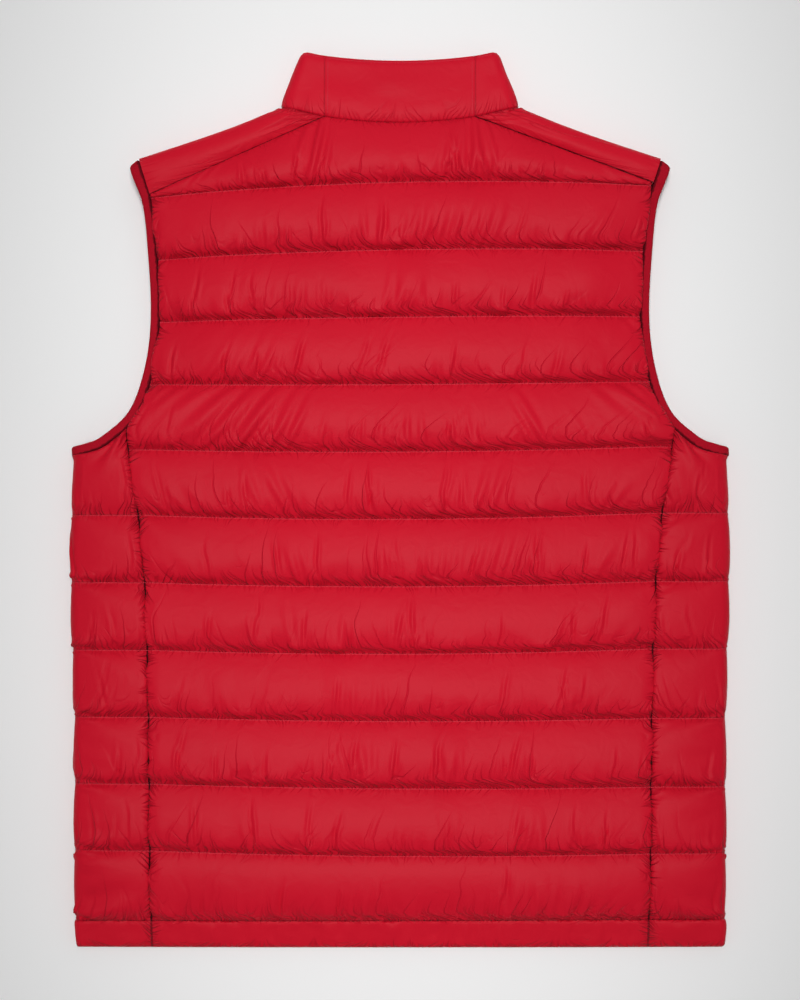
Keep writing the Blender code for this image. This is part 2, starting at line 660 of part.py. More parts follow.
def make_zip(vest, cutters, tape, teeth, metal):
    stops = [ZIP_BOTTOM_Y, RETAINER_TOP_Y, HEM_SEAM_Y, HEM_SEAM_Y + QUILT_PITCH / 2, HEM_SEAM_Y + QUILT_PITCH]
    stops += [NECK_SEAM_Y - QUILT_PITCH, NECK_SEAM_Y]
    for word, side in SIDES:
        ys = [*stops, TAPE_TOP_Y]

        def on_tape(column, row, skin, side=side, ys=ys):
            x = TAPE_INNER_X if column == 0 else FRONT_EDGE_X - SEAM_GAP
            return Vector((side * x, ys[row], front_height(ys[row]) + TAPE_HALF * skin))

        wall(f"zip_tape_{word}", vest, tape, 1, len(ys) - 1, on_tape)

    ys_chain = [RETAINER_TOP_Y + SEAM_GAP, *stops[2:], SLIDER_Y - 1]

    def on_chain(column, row, skin):
        half = CHAIN_HALF if column == 1 else CHAIN_EDGE_HALF
        y = ys_chain[row]
        return Vector(((column - 1) * CHAIN_HALF_WIDTH, y, front_height(y) + half * skin))

    wall("zip_chain", vest, teeth, 2, len(ys_chain) - 1, on_chain)

    bm = bmesh.new()
    middle_y = (ZIP_BOTTOM_Y + RETAINER_TOP_Y) / 2
    size = Vector((2 * CHAIN_HALF_WIDTH, RETAINER_TOP_Y - ZIP_BOTTOM_Y, 2 * RETAINER_HALF))
    box(bm, Vector((0, middle_y, front_height(middle_y) + 0.2)), size)
    bmesh.ops.bevel(bm, geom=bm.edges[:], offset=0.5, segments=1, affect="EDGES", profile=0.5, material=-1)
    finish("zip_retainer", bm, vest, metal)

    chain_z = front_height(SLIDER_Y)
    pivot = Vector((0, SLIDER_Y, chain_z - PIVOT_DROP))
    plates = []
    for level in (-SLIDER_PLATE_OFFSET, SLIDER_PLATE_OFFSET):
        bm = bmesh.new()
        box(bm, Vector((0, SLIDER_Y, chain_z + level)), SLIDER_SIZE)
        upright = [edge for edge in bm.edges if abs(edge.verts[0].co.z - edge.verts[1].co.z) > 0.5]
        bmesh.ops.bevel(bm, geom=upright, offset=2.0, segments=3, affect="EDGES", profile=0.5, material=-1)
        plates.append(bm)
    slider = finish("zip_slider", plates[0], vest, metal)
    added = [finish("slider_back_plate", plates[1], cutters, metal)]
    bm = bmesh.new()
    box(bm, Vector((0, SLIDER_Y + SLIDER_POST_OFFSET, chain_z)), SLIDER_POST)
    added.append(finish("slider_post", bm, cutters, metal))
    for word, side in SIDES:
        lug_x = side * (LUG_INNER_X + LUG_OUTER_X) / 2
        width = LUG_OUTER_X - LUG_INNER_X
        bm = bmesh.new()
        height = PIVOT_DROP - SLIDER_PLATE_OFFSET
        box(bm, pivot + Vector((lug_x, 0, height / 2)), Vector((width, 2 * EYE_RADIUS, height)))
        added.append(finish(f"slider_lug_{word}", bm, cutters, metal))
        bm = bmesh.new()
        rod(bm, pivot + Vector((lug_x, 0, 0)), EYE_RADIUS, width)
        added.append(finish(f"slider_lug_end_{word}", bm, cutters, metal))
    bm = bmesh.new()
    rod(bm, pivot, PIN_RADIUS, LUG_INNER_X + LUG_OUTER_X)
    added.append(finish("slider_pin", bm, cutters, metal))
    combined(slider, added, "UNION")

    bm = bmesh.new()
    rod(bm, pivot, EYE_RADIUS, 2 * TAB_NECK_HALF_WIDTH)
    tab = finish("zip_pull_tab", bm, vest, metal)
    bm = bmesh.new()
    neck = Vector((2 * TAB_NECK_HALF_WIDTH, TAB_NECK_LENGTH, TAB_THICKNESS))
    box(bm, pivot - Vector((0, EYE_HOLE_RADIUS + TAB_NECK_LENGTH / 2, 0)), neck)
    joined = [finish("tab_neck", bm, cutters, metal)]
    bm = bmesh.new()
    blade = Vector((2 * TAB_HALF_WIDTH, TAB_LENGTH - TAB_NECK_LENGTH, TAB_THICKNESS))
    box(bm, pivot - Vector((0, TAB_LENGTH - blade.y / 2, 0)), blade)
    upright = [edge for edge in bm.edges if abs(edge.verts[0].co.z - edge.verts[1].co.z) > 0.5]
    bmesh.ops.bevel(bm, geom=upright, offset=1.2, segments=3, affect="EDGES", profile=0.5, material=-1)
    joined.append(finish("tab_blade", bm, cutters, metal))
    combined(tab, joined, "UNION")
    bm = bmesh.new()
    rod(bm, pivot, EYE_HOLE_RADIUS, 2 * TAB_NECK_HALF_WIDTH + 2)
    combined(tab, [finish("tab_hole", bm, cutters, metal)], "DIFFERENCE")


def main():
    for old in list(bpy.data.objects):
        bpy.data.objects.remove(old)
    vest = bpy.data.collections.new("padded_vest")
    cutters = bpy.data.collections.new("cutters")
    for collection in (vest, cutters):
        bpy.context.scene.collection.children.link(collection)
    cutters.hide_render = True

    shell = material("quilted_shell", (0.58, 0.014, 0.030), 0.45)
    collar_cloth = material("collar_cloth", (0.56, 0.014, 0.030), 0.45)
    binding = material("armhole_binding", (0.50, 0.012, 0.026), 0.60)
    hem = material("hem_band", (0.54, 0.012, 0.026), 0.50)
    tape = material("zip_tape", (0.48, 0.012, 0.026), 0.80)
    teeth = material("zip_teeth", (0.45, 0.012, 0.024), 0.35)
    metal = material("zip_metal", (0.50, 0.015, 0.030), 0.40, 0.6)

    make_back_panel(vest, shell)
    make_collar_back(vest, collar_cloth)
    make_hem_back(vest, hem)
    for word, side in SIDES:
        make_side_panel(vest, shell, f"side_panel_{word}", side)
        make_front_panel(vest, shell, f"front_panel_{word}", side)
        make_yoke(vest, shell, f"shoulder_yoke_{word}", side)
        make_collar_side(vest, collar_cloth, f"collar_side_{word}", side)
        make_binding(vest, binding, f"armhole_binding_{word}", side)
        make_hem_side(vest, hem, f"hem_band_side_{word}", side)
        make_hem_front(vest, hem, f"hem_band_front_{word}", side)
    make_zip(vest, cutters, tape, teeth, metal)


main()
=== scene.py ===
# %% [markdown]
# # A red padded vest, laid flat with its back up
#
# The vest is sewn from quilted cloth: two thin skins with filling between them, stitched together along
# straight lines. Each stretch between two lines swells into a channel. The skins are cut a little larger than
# the lines that hold them, so they gather into small folds, mostly just above each line.
#
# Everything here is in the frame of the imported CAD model: X to the right, Y from the hem to the collar, Z up
# from the table. Lengths are in millimetres until a mesh is finished.

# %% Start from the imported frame
import math

import bmesh
import bpy
import numpy as np
from mathutils import Matrix, Vector


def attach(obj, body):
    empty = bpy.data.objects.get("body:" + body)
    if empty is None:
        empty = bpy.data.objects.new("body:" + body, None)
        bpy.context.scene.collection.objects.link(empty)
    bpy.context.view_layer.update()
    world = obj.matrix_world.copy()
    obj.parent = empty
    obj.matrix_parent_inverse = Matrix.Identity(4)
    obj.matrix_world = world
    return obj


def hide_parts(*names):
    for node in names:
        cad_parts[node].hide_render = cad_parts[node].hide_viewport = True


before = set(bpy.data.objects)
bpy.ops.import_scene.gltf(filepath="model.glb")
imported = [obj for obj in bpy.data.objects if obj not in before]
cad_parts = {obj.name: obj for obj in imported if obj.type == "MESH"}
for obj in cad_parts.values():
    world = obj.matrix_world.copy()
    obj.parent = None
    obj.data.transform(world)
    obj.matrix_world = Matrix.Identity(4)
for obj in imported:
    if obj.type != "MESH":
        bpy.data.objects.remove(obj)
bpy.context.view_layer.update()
MM = 0.001

# %% [markdown]
# ## The cut of the vest
#
# A tailor would keep these as measurements on a paper pattern. Each seam and each line of quilting is a short
# formula, so that every piece that meets there can ask for the same place.

# %% Measurements of the outline and the quilting
HEM_EDGE_Y = -376.5
COLLAR_CORNER_Y = 376.0
CHEST_HALF_WIDTH = 276
WAIST_NARROWER = 3  # on each side, from WAIST_START down over WAIST_LENGTH
WAIST_START, WAIST_LENGTH = -60, 140
HEM_SEAM_Y = -353.0
QUILT_PITCH = 56.2
TOP_LINE = 11
SIDE_TOP_LINE = 6
HALF_BACK = 208.0  # half the back panel's width at the hem
# Each line of quilting, from the hem seam up: how far its ends rise above its middle, and how far its right
# end is above its left end.
QUILT_RISE = np.array([0.4, 3.0, 2.6, 3.0, 3.7, 3.8, 4.2, 3.0, 1.3, -1.6, -4.6, -7.4])
QUILT_SLANT = np.array([1.0, -2.5, -2.5, -1.0, 1.0, 1.0, 2.0, 2.5, 2.5, 5.0, 7.6, 10.0])
SEAM_GAP = 0.1
SEAM_FLARE, SEAM_FLARE_LENGTH = 20, 75  # the side seam swings out towards the armhole
SEAM_TOP_Y = 60
SIDE_SEAM_TOP_X = 228.0
YOKE_CORNER_ABOVE_TOP_LINE = 2.5
NECK_SEAM_Y = 315.4
NECK_SEAM_RISE = 5.0
COLLAR_SEAM_X = 63.0
NECK_POINT = np.array([99.0, 329.0])
SHOULDER_TIP = np.array([218.8, 286.2])
FRONT_NECK = (282.0, 99.0, 47.0)  # lowest y, half width and depth of the curve
FRONT_YOKE_X = 80.0
FRONT_EDGE_X = 10.0
COLLAR_TOP_HALF_WIDTH = 83.0
COLLAR_DIPS = (7.5, 26.5)  # of the top edge, behind and in front
# The armhole: its outer and inner edges, from the side fold up to the shoulder.
ARMHOLE_OUTER = [(276, 44), (262, 47.6), (249, 53.4), (226, 75.2), (213.4, 113), (208.7, 157), (211.7, 213.8),
                 (216.3, 251.6), (227, 280)]
ARMHOLE_INNER = [(276, 35.5), (259.5, 39.6), (244.5, 46.4), (219.8, 70.6), (206.2, 110.8), (201.2, 157),
                 (204.3, 214.4), (209, 254), (218.8, 286.2)]
# Heights of the middle of each layer above the table, and how far they drop at the edges.
BACK_HEIGHT, BACK_CROWN, FRONT_HEIGHT = 25, 3, 7
HEM_SEAM_DROP, HEM_EDGE_DROP, FRONT_HEM_DROP = 10, 7, 2.5
NECK_DROP, COLLAR_DROP, FRONT_NECK_DROP = 3, 7.5, 0.5
ARMHOLE_DROP, ARMHOLE_DROP_REACH = 6, 60


# %% Curves for the edges
def smooth(share):
    """0 to 1, starting and ending gently."""
    share = np.clip(share, 0, 1)
    return share * share * (3 - 2 * share)


def curve_through(points, steps=10):
    """A Catmull-Rom curve through the points."""
    points = np.array(points, float)
    ends = np.vstack([2 * points[0] - points[1], points, 2 * points[-1] - points[-2]])
    found = [points[0]]
    for before, start, end, after in zip(ends, ends[1:], ends[2:], ends[3:]):
        for t in np.arange(1, steps + 1) / steps:
            bend = (2 * before - 5 * start + 4 * end - after) * t + (3 * start - before - 3 * end + after) * t * t
            found.append(start + ((end - before) + bend) * t / 2)
    return np.array(found)


OUTER_EDGE = curve_through(ARMHOLE_OUTER)
INNER_EDGE = curve_through(ARMHOLE_INNER)


# %% Seams and lines of quilting
def quilt_y(line, x):
    share = np.clip(np.asarray(x, float) / HALF_BACK, -1, 1)
    line = np.asarray(line, int)
    return HEM_SEAM_Y + line * QUILT_PITCH + QUILT_RISE[line] * share**2 + QUILT_SLANT[line] / 2 * share


def side_seam_x(y):
    return HALF_BACK + SEAM_FLARE / (1 + ((SEAM_TOP_Y - np.asarray(y, float)) / SEAM_FLARE_LENGTH) ** 2)


def side_fold_x(y):
    return CHEST_HALF_WIDTH - WAIST_NARROWER * smooth((WAIST_START - np.asarray(y, float)) / WAIST_LENGTH)


def armhole_x(y, edge=INNER_EDGE):
    return np.interp(y, edge[:, 1], edge[:, 0])


def armhole_y(x, edge):
    lowest = int(np.argmin(edge[:, 0]))
    return np.interp(x, edge[lowest::-1, 0], edge[lowest::-1, 1])


def panel_edge_x(y):
    return np.minimum(side_seam_x(y), armhole_x(y)) - SEAM_GAP


def yoke_corner(side):
    y = float(quilt_y(TOP_LINE, side * HALF_BACK)) + YOKE_CORNER_ABOVE_TOP_LINE
    return np.array([float(armhole_x(y)) - SEAM_GAP, y])


def neck_y(x):
    return NECK_SEAM_Y + NECK_SEAM_RISE * (np.asarray(x, float) / COLLAR_SEAM_X) ** 2


def along_line(x, start, end):
    return start[1] + (end[1] - start[1]) * (x - start[0]) / (end[0] - start[0])


def back_top_y(x, side):
    seam_end = (COLLAR_SEAM_X, float(neck_y(COLLAR_SEAM_X)))
    return np.where(np.abs(x) <= COLLAR_SEAM_X, neck_y(x), along_line(np.abs(x), seam_end, yoke_corner(side)))


def front_neck_y(x):
    low, half_width, depth = FRONT_NECK
    return low + depth * (1 - np.sqrt(np.clip(1 - (np.asarray(x, float) / half_width) ** 2, 0, 1)))


def front_top_y(x, side):
    seam_end = (FRONT_YOKE_X, float(front_neck_y(FRONT_YOKE_X)))
    return np.where(x <= FRONT_YOKE_X, front_neck_y(x), along_line(x, seam_end, yoke_corner(side)))


def collar_top_y(x, dip):
    return COLLAR_CORNER_Y - dip * (1 - (np.asarray(x, float) / COLLAR_TOP_HALF_WIDTH) ** 2)


# %% Heights of the two layers
def back_height(x, y):
    """Middle of the back layer above the table."""
    x, y = np.abs(np.asarray(x, float)), np.asarray(y, float)
    height = BACK_HEIGHT - BACK_CROWN * (x / CHEST_HALF_WIDTH) ** 2
    height = height - HEM_SEAM_DROP * smooth((HEM_SEAM_Y + QUILT_PITCH - y) / QUILT_PITCH)
    height = height - HEM_EDGE_DROP * np.maximum(0, (HEM_SEAM_Y - y) / (HEM_SEAM_Y - HEM_EDGE_Y))
    height = height - NECK_DROP * smooth((y - (NECK_SEAM_Y - QUILT_PITCH)) / QUILT_PITCH)
    reach = ARMHOLE_DROP_REACH
    beside = smooth(1 - (armhole_x(y) - x) / reach) * smooth((y - SEAM_TOP_Y) / reach)
    beside = beside * smooth((SHOULDER_TIP[1] - y) / reach)
    collar = smooth((y - NECK_SEAM_Y - 6) / (COLLAR_CORNER_Y - NECK_SEAM_Y - 6))
    return height - ARMHOLE_DROP * beside - COLLAR_DROP * collar


def front_height(y):
    """Middle of the front layer above the table."""
    y = np.asarray(y, float)
    height = FRONT_HEIGHT - FRONT_HEM_DROP * smooth((HEM_SEAM_Y + QUILT_PITCH - y) / QUILT_PITCH)
    height = height - FRONT_HEM_DROP * np.maximum(0, (HEM_SEAM_Y - y) / (HEM_SEAM_Y - HEM_EDGE_Y))
    return height - FRONT_NECK_DROP * smooth((y - (NECK_SEAM_Y - QUILT_PITCH)) / QUILT_PITCH)


print("quilting lines at the middle:", [round(float(quilt_y(line, 0))) for line in range(TOP_LINE + 1)])

# %% [markdown]
# ## Cloth that settles
#
# Blender's Cloth is the usual way to puff up a cushion. Here the folds matter more than the swelling: they come
# from cloth that is longer than the seam it is sewn to, and each stretch has its own amount. The helper below
# does that on a regular grid. It keeps every edge of the grid near its own length, pushes the cloth outwards as
# the filling does, lets it sag towards the hem, and holds the stitched points still.

# %% A grid of cloth that settles over its filling
def nudge(first, second, free_first, free_second, rest, strength, push_only=False):
    """Moves the ends of many edges towards the length they should have."""
    apart = second - first
    length = np.sqrt((apart * apart).sum(-1)) + 1e-6
    error = (length - rest) / length
    if push_only:
        error = np.minimum(error, 0)
    both = free_first + free_second
    move = (strength * error / np.where(both == 0, 1, both))[..., None] * apart
    first += move * free_first[..., None]
    second -= move * free_second[..., None]


def settle(points, normals, free, rest_x, rest_y, floor, push, sag, base, steps=55, rounds=8, stiffness=0.3,
           ground=None):
    """Cloth over a filling. points and normals are rows x columns x 3; free is 0 where the cloth is stitched.
    rest_x and rest_y are its own lengths along rows and columns. floor is how far the filling keeps it off base."""
    cloth, before = points.astype(np.float32), points.astype(np.float32)
    base, normals = base.astype(np.float32), normals.astype(np.float32)
    free = free.astype(np.float32)
    rest_x, rest_y, floor = (np.asarray(a, np.float32) for a in (rest_x, rest_y, floor))
    sag = np.asarray(sag, np.float32)
    diagonal = np.sqrt(rest_x[:-1] ** 2 + rest_y[:, :-1] ** 2)
    two_x, two_y = rest_x[:, :-1] + rest_x[:, 1:], rest_y[:-1] + rest_y[1:]
    for _ in range(steps):
        across, up = np.gradient(cloth, axis=1), np.gradient(cloth, axis=0)
        out = np.cross(across, up)
        out /= np.linalg.norm(out, axis=-1, keepdims=True) + 1e-6
        out *= np.sign((out * normals).sum(-1, keepdims=True))
        speed = (cloth - before) * 0.9
        before = cloth.copy()
        cloth += (speed + out * push + sag) * free[..., None]
        for _ in range(rounds):
            for o in (0, 1):
                nudge(cloth[:, o:-1:2], cloth[:, o + 1::2], free[:, o:-1:2], free[:, o + 1::2], rest_x[:, o::2], 1.0)
                nudge(cloth[o:-1:2], cloth[o + 1::2], free[o:-1:2], free[o + 1::2], rest_y[o::2], 1.0)
            for o in (0, 1):
                low, high = slice(o, -1, 2), slice(o + 1, None, 2)
                nudge(cloth[low, :-1], cloth[high, 1:], free[low, :-1], free[high, 1:], diagonal[o::2], stiffness)
                nudge(cloth[low, 1:], cloth[high, :-1], free[low, 1:], free[high, :-1], diagonal[o::2], stiffness)
            for o in range(4):
                part = slice(o, None, 4)
                nudge(cloth[:, :-2][:, part], cloth[:, 2:][:, part], free[:, :-2][:, part], free[:, 2:][:, part],
                      two_x[:, part], stiffness, push_only=True)
                nudge(cloth[:-2][part], cloth[2:][part], free[:-2][part], free[2:][part],
                      two_y[part], stiffness, push_only=True)
            lift = floor - ((cloth - base) * normals).sum(-1)
            cloth += normals * (np.maximum(lift, 0) * free)[..., None]
            if ground is not None:
                cloth[..., 2] = np.maximum(cloth[..., 2], ground)
    return cloth.astype(float)


# %% Lengths and smooth random numbers
def lengths(points):
    """The lengths of a grid's edges along its rows and along its columns."""
    return (np.linalg.norm(np.diff(points, axis=1), axis=-1), np.linalg.norm(np.diff(points, axis=0), axis=-1))


def uneven(rng, rows, columns, row_step, column_step):
    """Smooth random numbers, about -1 to 1, that change over that many rows and columns."""
    coarse = rng.normal(0, 0.6, (int(rows / row_step) + 3, int(columns / column_step) + 3))
    at_rows, at_columns = np.arange(rows) / row_step, np.arange(columns) / column_step
    low_row, low_column = at_rows.astype(int), at_columns.astype(int)
    share_row, share_column = smooth(at_rows - low_row)[:, None], smooth(at_columns - low_column)[None]
    corner = [[coarse[low_row + a][:, low_column + b] for b in (0, 1)] for a in (0, 1)]
    bottom = corner[0][0] * (1 - share_column) + corner[0][1] * share_column
    top = corner[1][0] * (1 - share_column) + corner[1][1] * share_column
    return bottom * (1 - share_row) + top * share_row


# %% [markdown]
# ## Walls from grids
#
# Each piece is a wall with an outer and an inner skin. A grid is made into a thin slab, its outer face is
# divided more finely, and then every point is moved to its place. The inner skin is never seen closely, so it
# stays coarse.

# %% A wall with a fine outer skin and a coarse inner one
def sample(table, row, column):
    """Values of a rows x columns x 3 table at fractional rows and columns, from 0 to 1."""
    at_row, at_column = row * (table.shape[0] - 1), column * (table.shape[1] - 1)
    low_row = np.clip(at_row.astype(int), 0, table.shape[0] - 2)
    low_column = np.clip(at_column.astype(int), 0, table.shape[1] - 2)
    a, b = (at_row - low_row)[:, None], (at_column - low_column)[:, None]
    low = table[low_row, low_column] * (1 - b) + table[low_row, low_column + 1] * b
    high = table[low_row + 1, low_column] * (1 - b) + table[low_row + 1, low_column + 1] * b
    return low * (1 - a) + high * a


def wall(name, outer, inner, finer, along, shares):
    """A closed wall in metres whose skins follow two tables of points. The outer skin has finer times finer
    faces for each face of the inner one. Two UV maps hold where a point is on the cloth, in units of 50 mm:
    "cloth" how far along it is, and the number of its channel plus its share of it (shares, for each row);
    "seams" how far it is from the nearer side seam, and its height on the vest."""
    rows, columns = (outer.shape[0] - 1) // finer, (outer.shape[1] - 1) // finer
    bm = bmesh.new()
    bmesh.ops.create_grid(bm, x_segments=columns, y_segments=rows, size=0.5)
    bmesh.ops.solidify(bm, geom=bm.faces[:], thickness=1.0)
    if finer > 1:
        top = [edge for edge in bm.edges if all(vert.co.z > -0.5 for vert in edge.verts)]
        bmesh.ops.subdivide_edges(bm, edges=top, cuts=finer - 1, use_grid_fill=True)
    mesh = bpy.data.meshes.new(name)
    bm.to_mesh(mesh)
    bm.free()
    place = np.zeros(len(mesh.vertices) * 3)
    mesh.vertices.foreach_get("co", place)
    place = place.reshape(-1, 3)
    outside = place[:, 2] > -0.5
    across, up = np.clip(place[:, 0] + 0.5, 0, 1), np.clip(place[:, 1] + 0.5, 0, 1)
    made = np.zeros_like(place)
    made[outside] = sample(outer, up[outside], across[outside])
    made[~outside] = sample(inner, up[~outside], across[~outside])
    mesh.vertices.foreach_set("co", (made * MM).ravel())
    uv = mesh.uv_layers.new(name="cloth")
    loops = np.zeros(len(mesh.loops), np.int32)
    mesh.loops.foreach_get("vertex_index", loops)
    far = np.minimum(along, along[:, -1:] - along)
    own = sum(name.encode()) % 97  # moves the pattern, so that no two pieces have the same folds
    channel = np.broadcast_to(np.asarray(shares)[:, None], along.shape)
    values = sample(np.stack([along / 50 + own, channel, far / 50, outer[..., 1] / 50 + own], -1), up, across)
    uv.data.foreach_set("uv", values[loops, :2].ravel())
    mesh.uv_layers.new(name="seams").data.foreach_set("uv", values[loops, 2:].ravel())
    bm = bmesh.new()
    bm.from_mesh(mesh)
    bmesh.ops.recalc_face_normals(bm, faces=bm.faces)
    bm.to_mesh(mesh)
    bm.free()
    mesh.shade_smooth()
    mesh.set_sharp_from_angle(angle=math.radians(75))
    return mesh


# %% Putting a piece in the scene
def show(name, mesh, node, surface, body="vest"):
    """Puts a finished mesh in the scene in place of a CAD node."""
    piece = bpy.data.objects.new(name, mesh)
    bpy.context.scene.collection.objects.link(piece)
    if not mesh.materials:
        mesh.materials.append(surface)
    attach(piece, body)
    if node:
        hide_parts(node)
    print(f"{name}: {sum(len(face.vertices) - 2 for face in mesh.polygons)} triangles")
    return piece


# %% [markdown]
# ## Helpers for materials
#
# A material in Blender is a small network of nodes that ends in a shader. Each could be built by hand in the
# editor. Here one function adds a node with its settings and links, so that a material reads as a list of steps.

# %% Helpers for materials
def linear(hex_colour):
    """sRGB hex to the linear values that shaders use."""
    parts = [int(hex_colour[i:i + 2], 16) / 255 for i in (1, 3, 5)]
    return [c / 12.92 if c <= 0.04045 else ((c + 0.055) / 1.055) ** 2.4 for c in parts] + [1.0]


def add(tree, kind, settings=None, **links):
    """A node with its settings, and with its inputs linked or set."""
    node = tree.nodes.new(kind)
    for name, value in (settings or {}).items():
        setattr(node, name, value)
    for name, value in links.items():
        numbered = name[0] == "i" and name[1:].isdigit()  # i0, i1 and so on are sockets by number
        socket = node.inputs[int(name[1:]) if numbered else name.replace("_", " ")]
        if isinstance(value, bpy.types.NodeSocket):
            tree.links.new(value, socket)
        else:
            socket.default_value = value
    return node


def new_material(name, colour, roughness, metallic=0.0, sheen=0.0):
    made = bpy.data.materials.new(name)
    made.use_nodes = True
    shader = made.node_tree.nodes["Principled BSDF"]
    shader.inputs["Base Color"].default_value = linear(colour)
    shader.inputs["Roughness"].default_value = roughness
    shader.inputs["Metallic"].default_value = metallic
    shader.inputs["Sheen Weight"].default_value = sheen
    made.diffuse_color = linear(colour)
    return made, made.node_tree, shader


# %% [markdown]
# ## Small folds at the seams
#
# Where a long edge of cloth is sewn to a shorter line of stitching, the surplus puckers into folds a few
# millimetres apart. They are too fine to model one by one, and an image of folds would repeat. So a noise texture
# gives their contours: where it passes its middle value there is a thin valley. The two UV maps of a wall say how
# far each point is from the seams, so the folds start there, lean to and fro and fade out.

# %% Folds at a seam, for the shell's bump
SMOOTHLY = {"interpolation_type": "SMOOTHSTEP"}
ALONG_ONE, ALONG_TWO = {"noise_dimensions": "1D"}, {"noise_dimensions": "2D"}
TIMES, MOST, TIMES_PLUS = {"operation": "MULTIPLY"}, {"operation": "MAXIMUM"}, {"operation": "MULTIPLY_ADD"}


def folds(tree, along, off, spacing, reach, strength=1.0, lean=0.8, shortest=0.3, drawn=0.12, turns=1.6):
    """Folds that run away from a seam: strength in their valleys and 0 between them. along and off are the place
    along the seam and the distance from it, in units of 50 mm; spacing and reach are in mm. The noise is drawn
    out away from the seam, the more so the smaller drawn is, and leans to and fro turns times in 50 mm."""
    leaning = add(tree, "ShaderNodeTexNoise", ALONG_ONE, W=along, Scale=turns, Detail=0.0)
    slant = add(tree, "ShaderNodeMapRange", Value=leaning.outputs[0], From_Min=0.3, From_Max=0.7, To_Min=-lean,
                To_Max=lean)
    moved = add(tree, "ShaderNodeMath", TIMES_PLUS, i0=slant.outputs[0], i1=off, i2=along)
    squeezed = add(tree, "ShaderNodeMath", TIMES, i0=off, i1=drawn)
    place = add(tree, "ShaderNodeCombineXYZ", X=moved.outputs[0], Y=squeezed.outputs[0])
    noise = add(tree, "ShaderNodeTexNoise", ALONG_TWO, Vector=place.outputs[0], Scale=50 / spacing, Detail=1.0)
    level = add(tree, "ShaderNodeMath", {"operation": "PINGPONG"}, i0=noise.outputs[0], i1=0.5)
    valley = add(tree, "ShaderNodeMapRange", SMOOTHLY, Value=level.outputs[0], From_Min=0.5 - 0.55 / spacing,
                 From_Max=0.5, To_Max=strength)
    uneven_length = add(tree, "ShaderNodeTexNoise", ALONG_ONE, W=moved.outputs[0], Scale=50 / (1.5 * spacing),
                        Detail=1.0)
    limit = add(tree, "ShaderNodeMapRange", Value=uneven_length.outputs[0], From_Min=0.3, From_Max=0.7,
                To_Min=shortest * reach / 50, To_Max=1.7 * reach / 50)
    near = add(tree, "ShaderNodeMapRange", SMOOTHLY, Value=off, From_Min=limit.outputs[0], From_Max=0.0)
    return add(tree, "ShaderNodeMath", TIMES, i0=valley.outputs[0], i1=near.outputs[0]).outputs[0]


# %% All the folds of a piece
def all_folds(tree, creased, puckers):
    """The small folds at every seam, the long creases, and a mask of painted shade just above each line of quilting and
    at the side seams.
    """
    cloth = add(tree, "ShaderNodeSeparateXYZ", Vector=add(tree, "ShaderNodeUVMap", {"uv_map": "cloth"}).outputs[0])
    seams = add(tree, "ShaderNodeSeparateXYZ", Vector=add(tree, "ShaderNodeUVMap", {"uv_map": "seams"}).outputs[0])
    share = add(tree, "ShaderNodeMath", {"operation": "FRACT"}, i0=cloth.outputs[1]).outputs[0]
    pitch = QUILT_PITCH / 50
    above = add(tree, "ShaderNodeMath", TIMES, i0=share, i1=pitch).outputs[0]
    below = add(tree, "ShaderNodeMath", TIMES_PLUS, i0=share, i1=-pitch, i2=pitch).outputs[0]
    channel = add(tree, "ShaderNodeMath", {"operation": "FLOOR"}, i0=cloth.outputs[1])
    apart = add(tree, "ShaderNodeMath", TIMES_PLUS, i0=channel.outputs[0], i1=9.7, i2=cloth.outputs[0]).outputs[0]
    small = folds(tree, apart, above, 5.5, 15)
    for other in (folds(tree, apart, below, 6.5, 6, strength=0.5),
                  folds(tree, seams.outputs[1], seams.outputs[0], 5.0, 9, strength=puckers, lean=1.0, shortest=0.6)):
        small = add(tree, "ShaderNodeMath", MOST, i0=small, i1=other).outputs[0]
    long = folds(tree, apart, above, 30, 38, lean=0.45, shortest=0.1, drawn=0.04, turns=0.7) if creased else 0.0
    # Painted shade: darker just above each line of quilting, and nearly black at the side seams.
    line = add(tree, "ShaderNodeMapRange", SMOOTHLY, Value=above, From_Min=0.03, From_Max=0.0, To_Max=0.3).outputs[0]
    side = add(tree, "ShaderNodeMapRange", SMOOTHLY, Value=seams.outputs[0], From_Min=0.026, From_Max=0.008,
               To_Max=0.95).outputs[0]
    return small, long, add(tree, "ShaderNodeMath", MOST, i0=line, i1=side).outputs[0]


# %% [markdown]
# ## Shell cloth
#
# The shell is plain woven polyester, dyed red. Its filaments are straight and even, so light catches it softly
# and it has hardly any gloss. One function makes it in four kinds: creased and puckered for the quilting,
# smoother for the yokes, almost smooth for the collar, and gathered for the hem band.

# %% Woven polyester for the shell
# The red of the painted shade in the folds and beside the seams.
FOLD_SHADE_RED = "#520510"


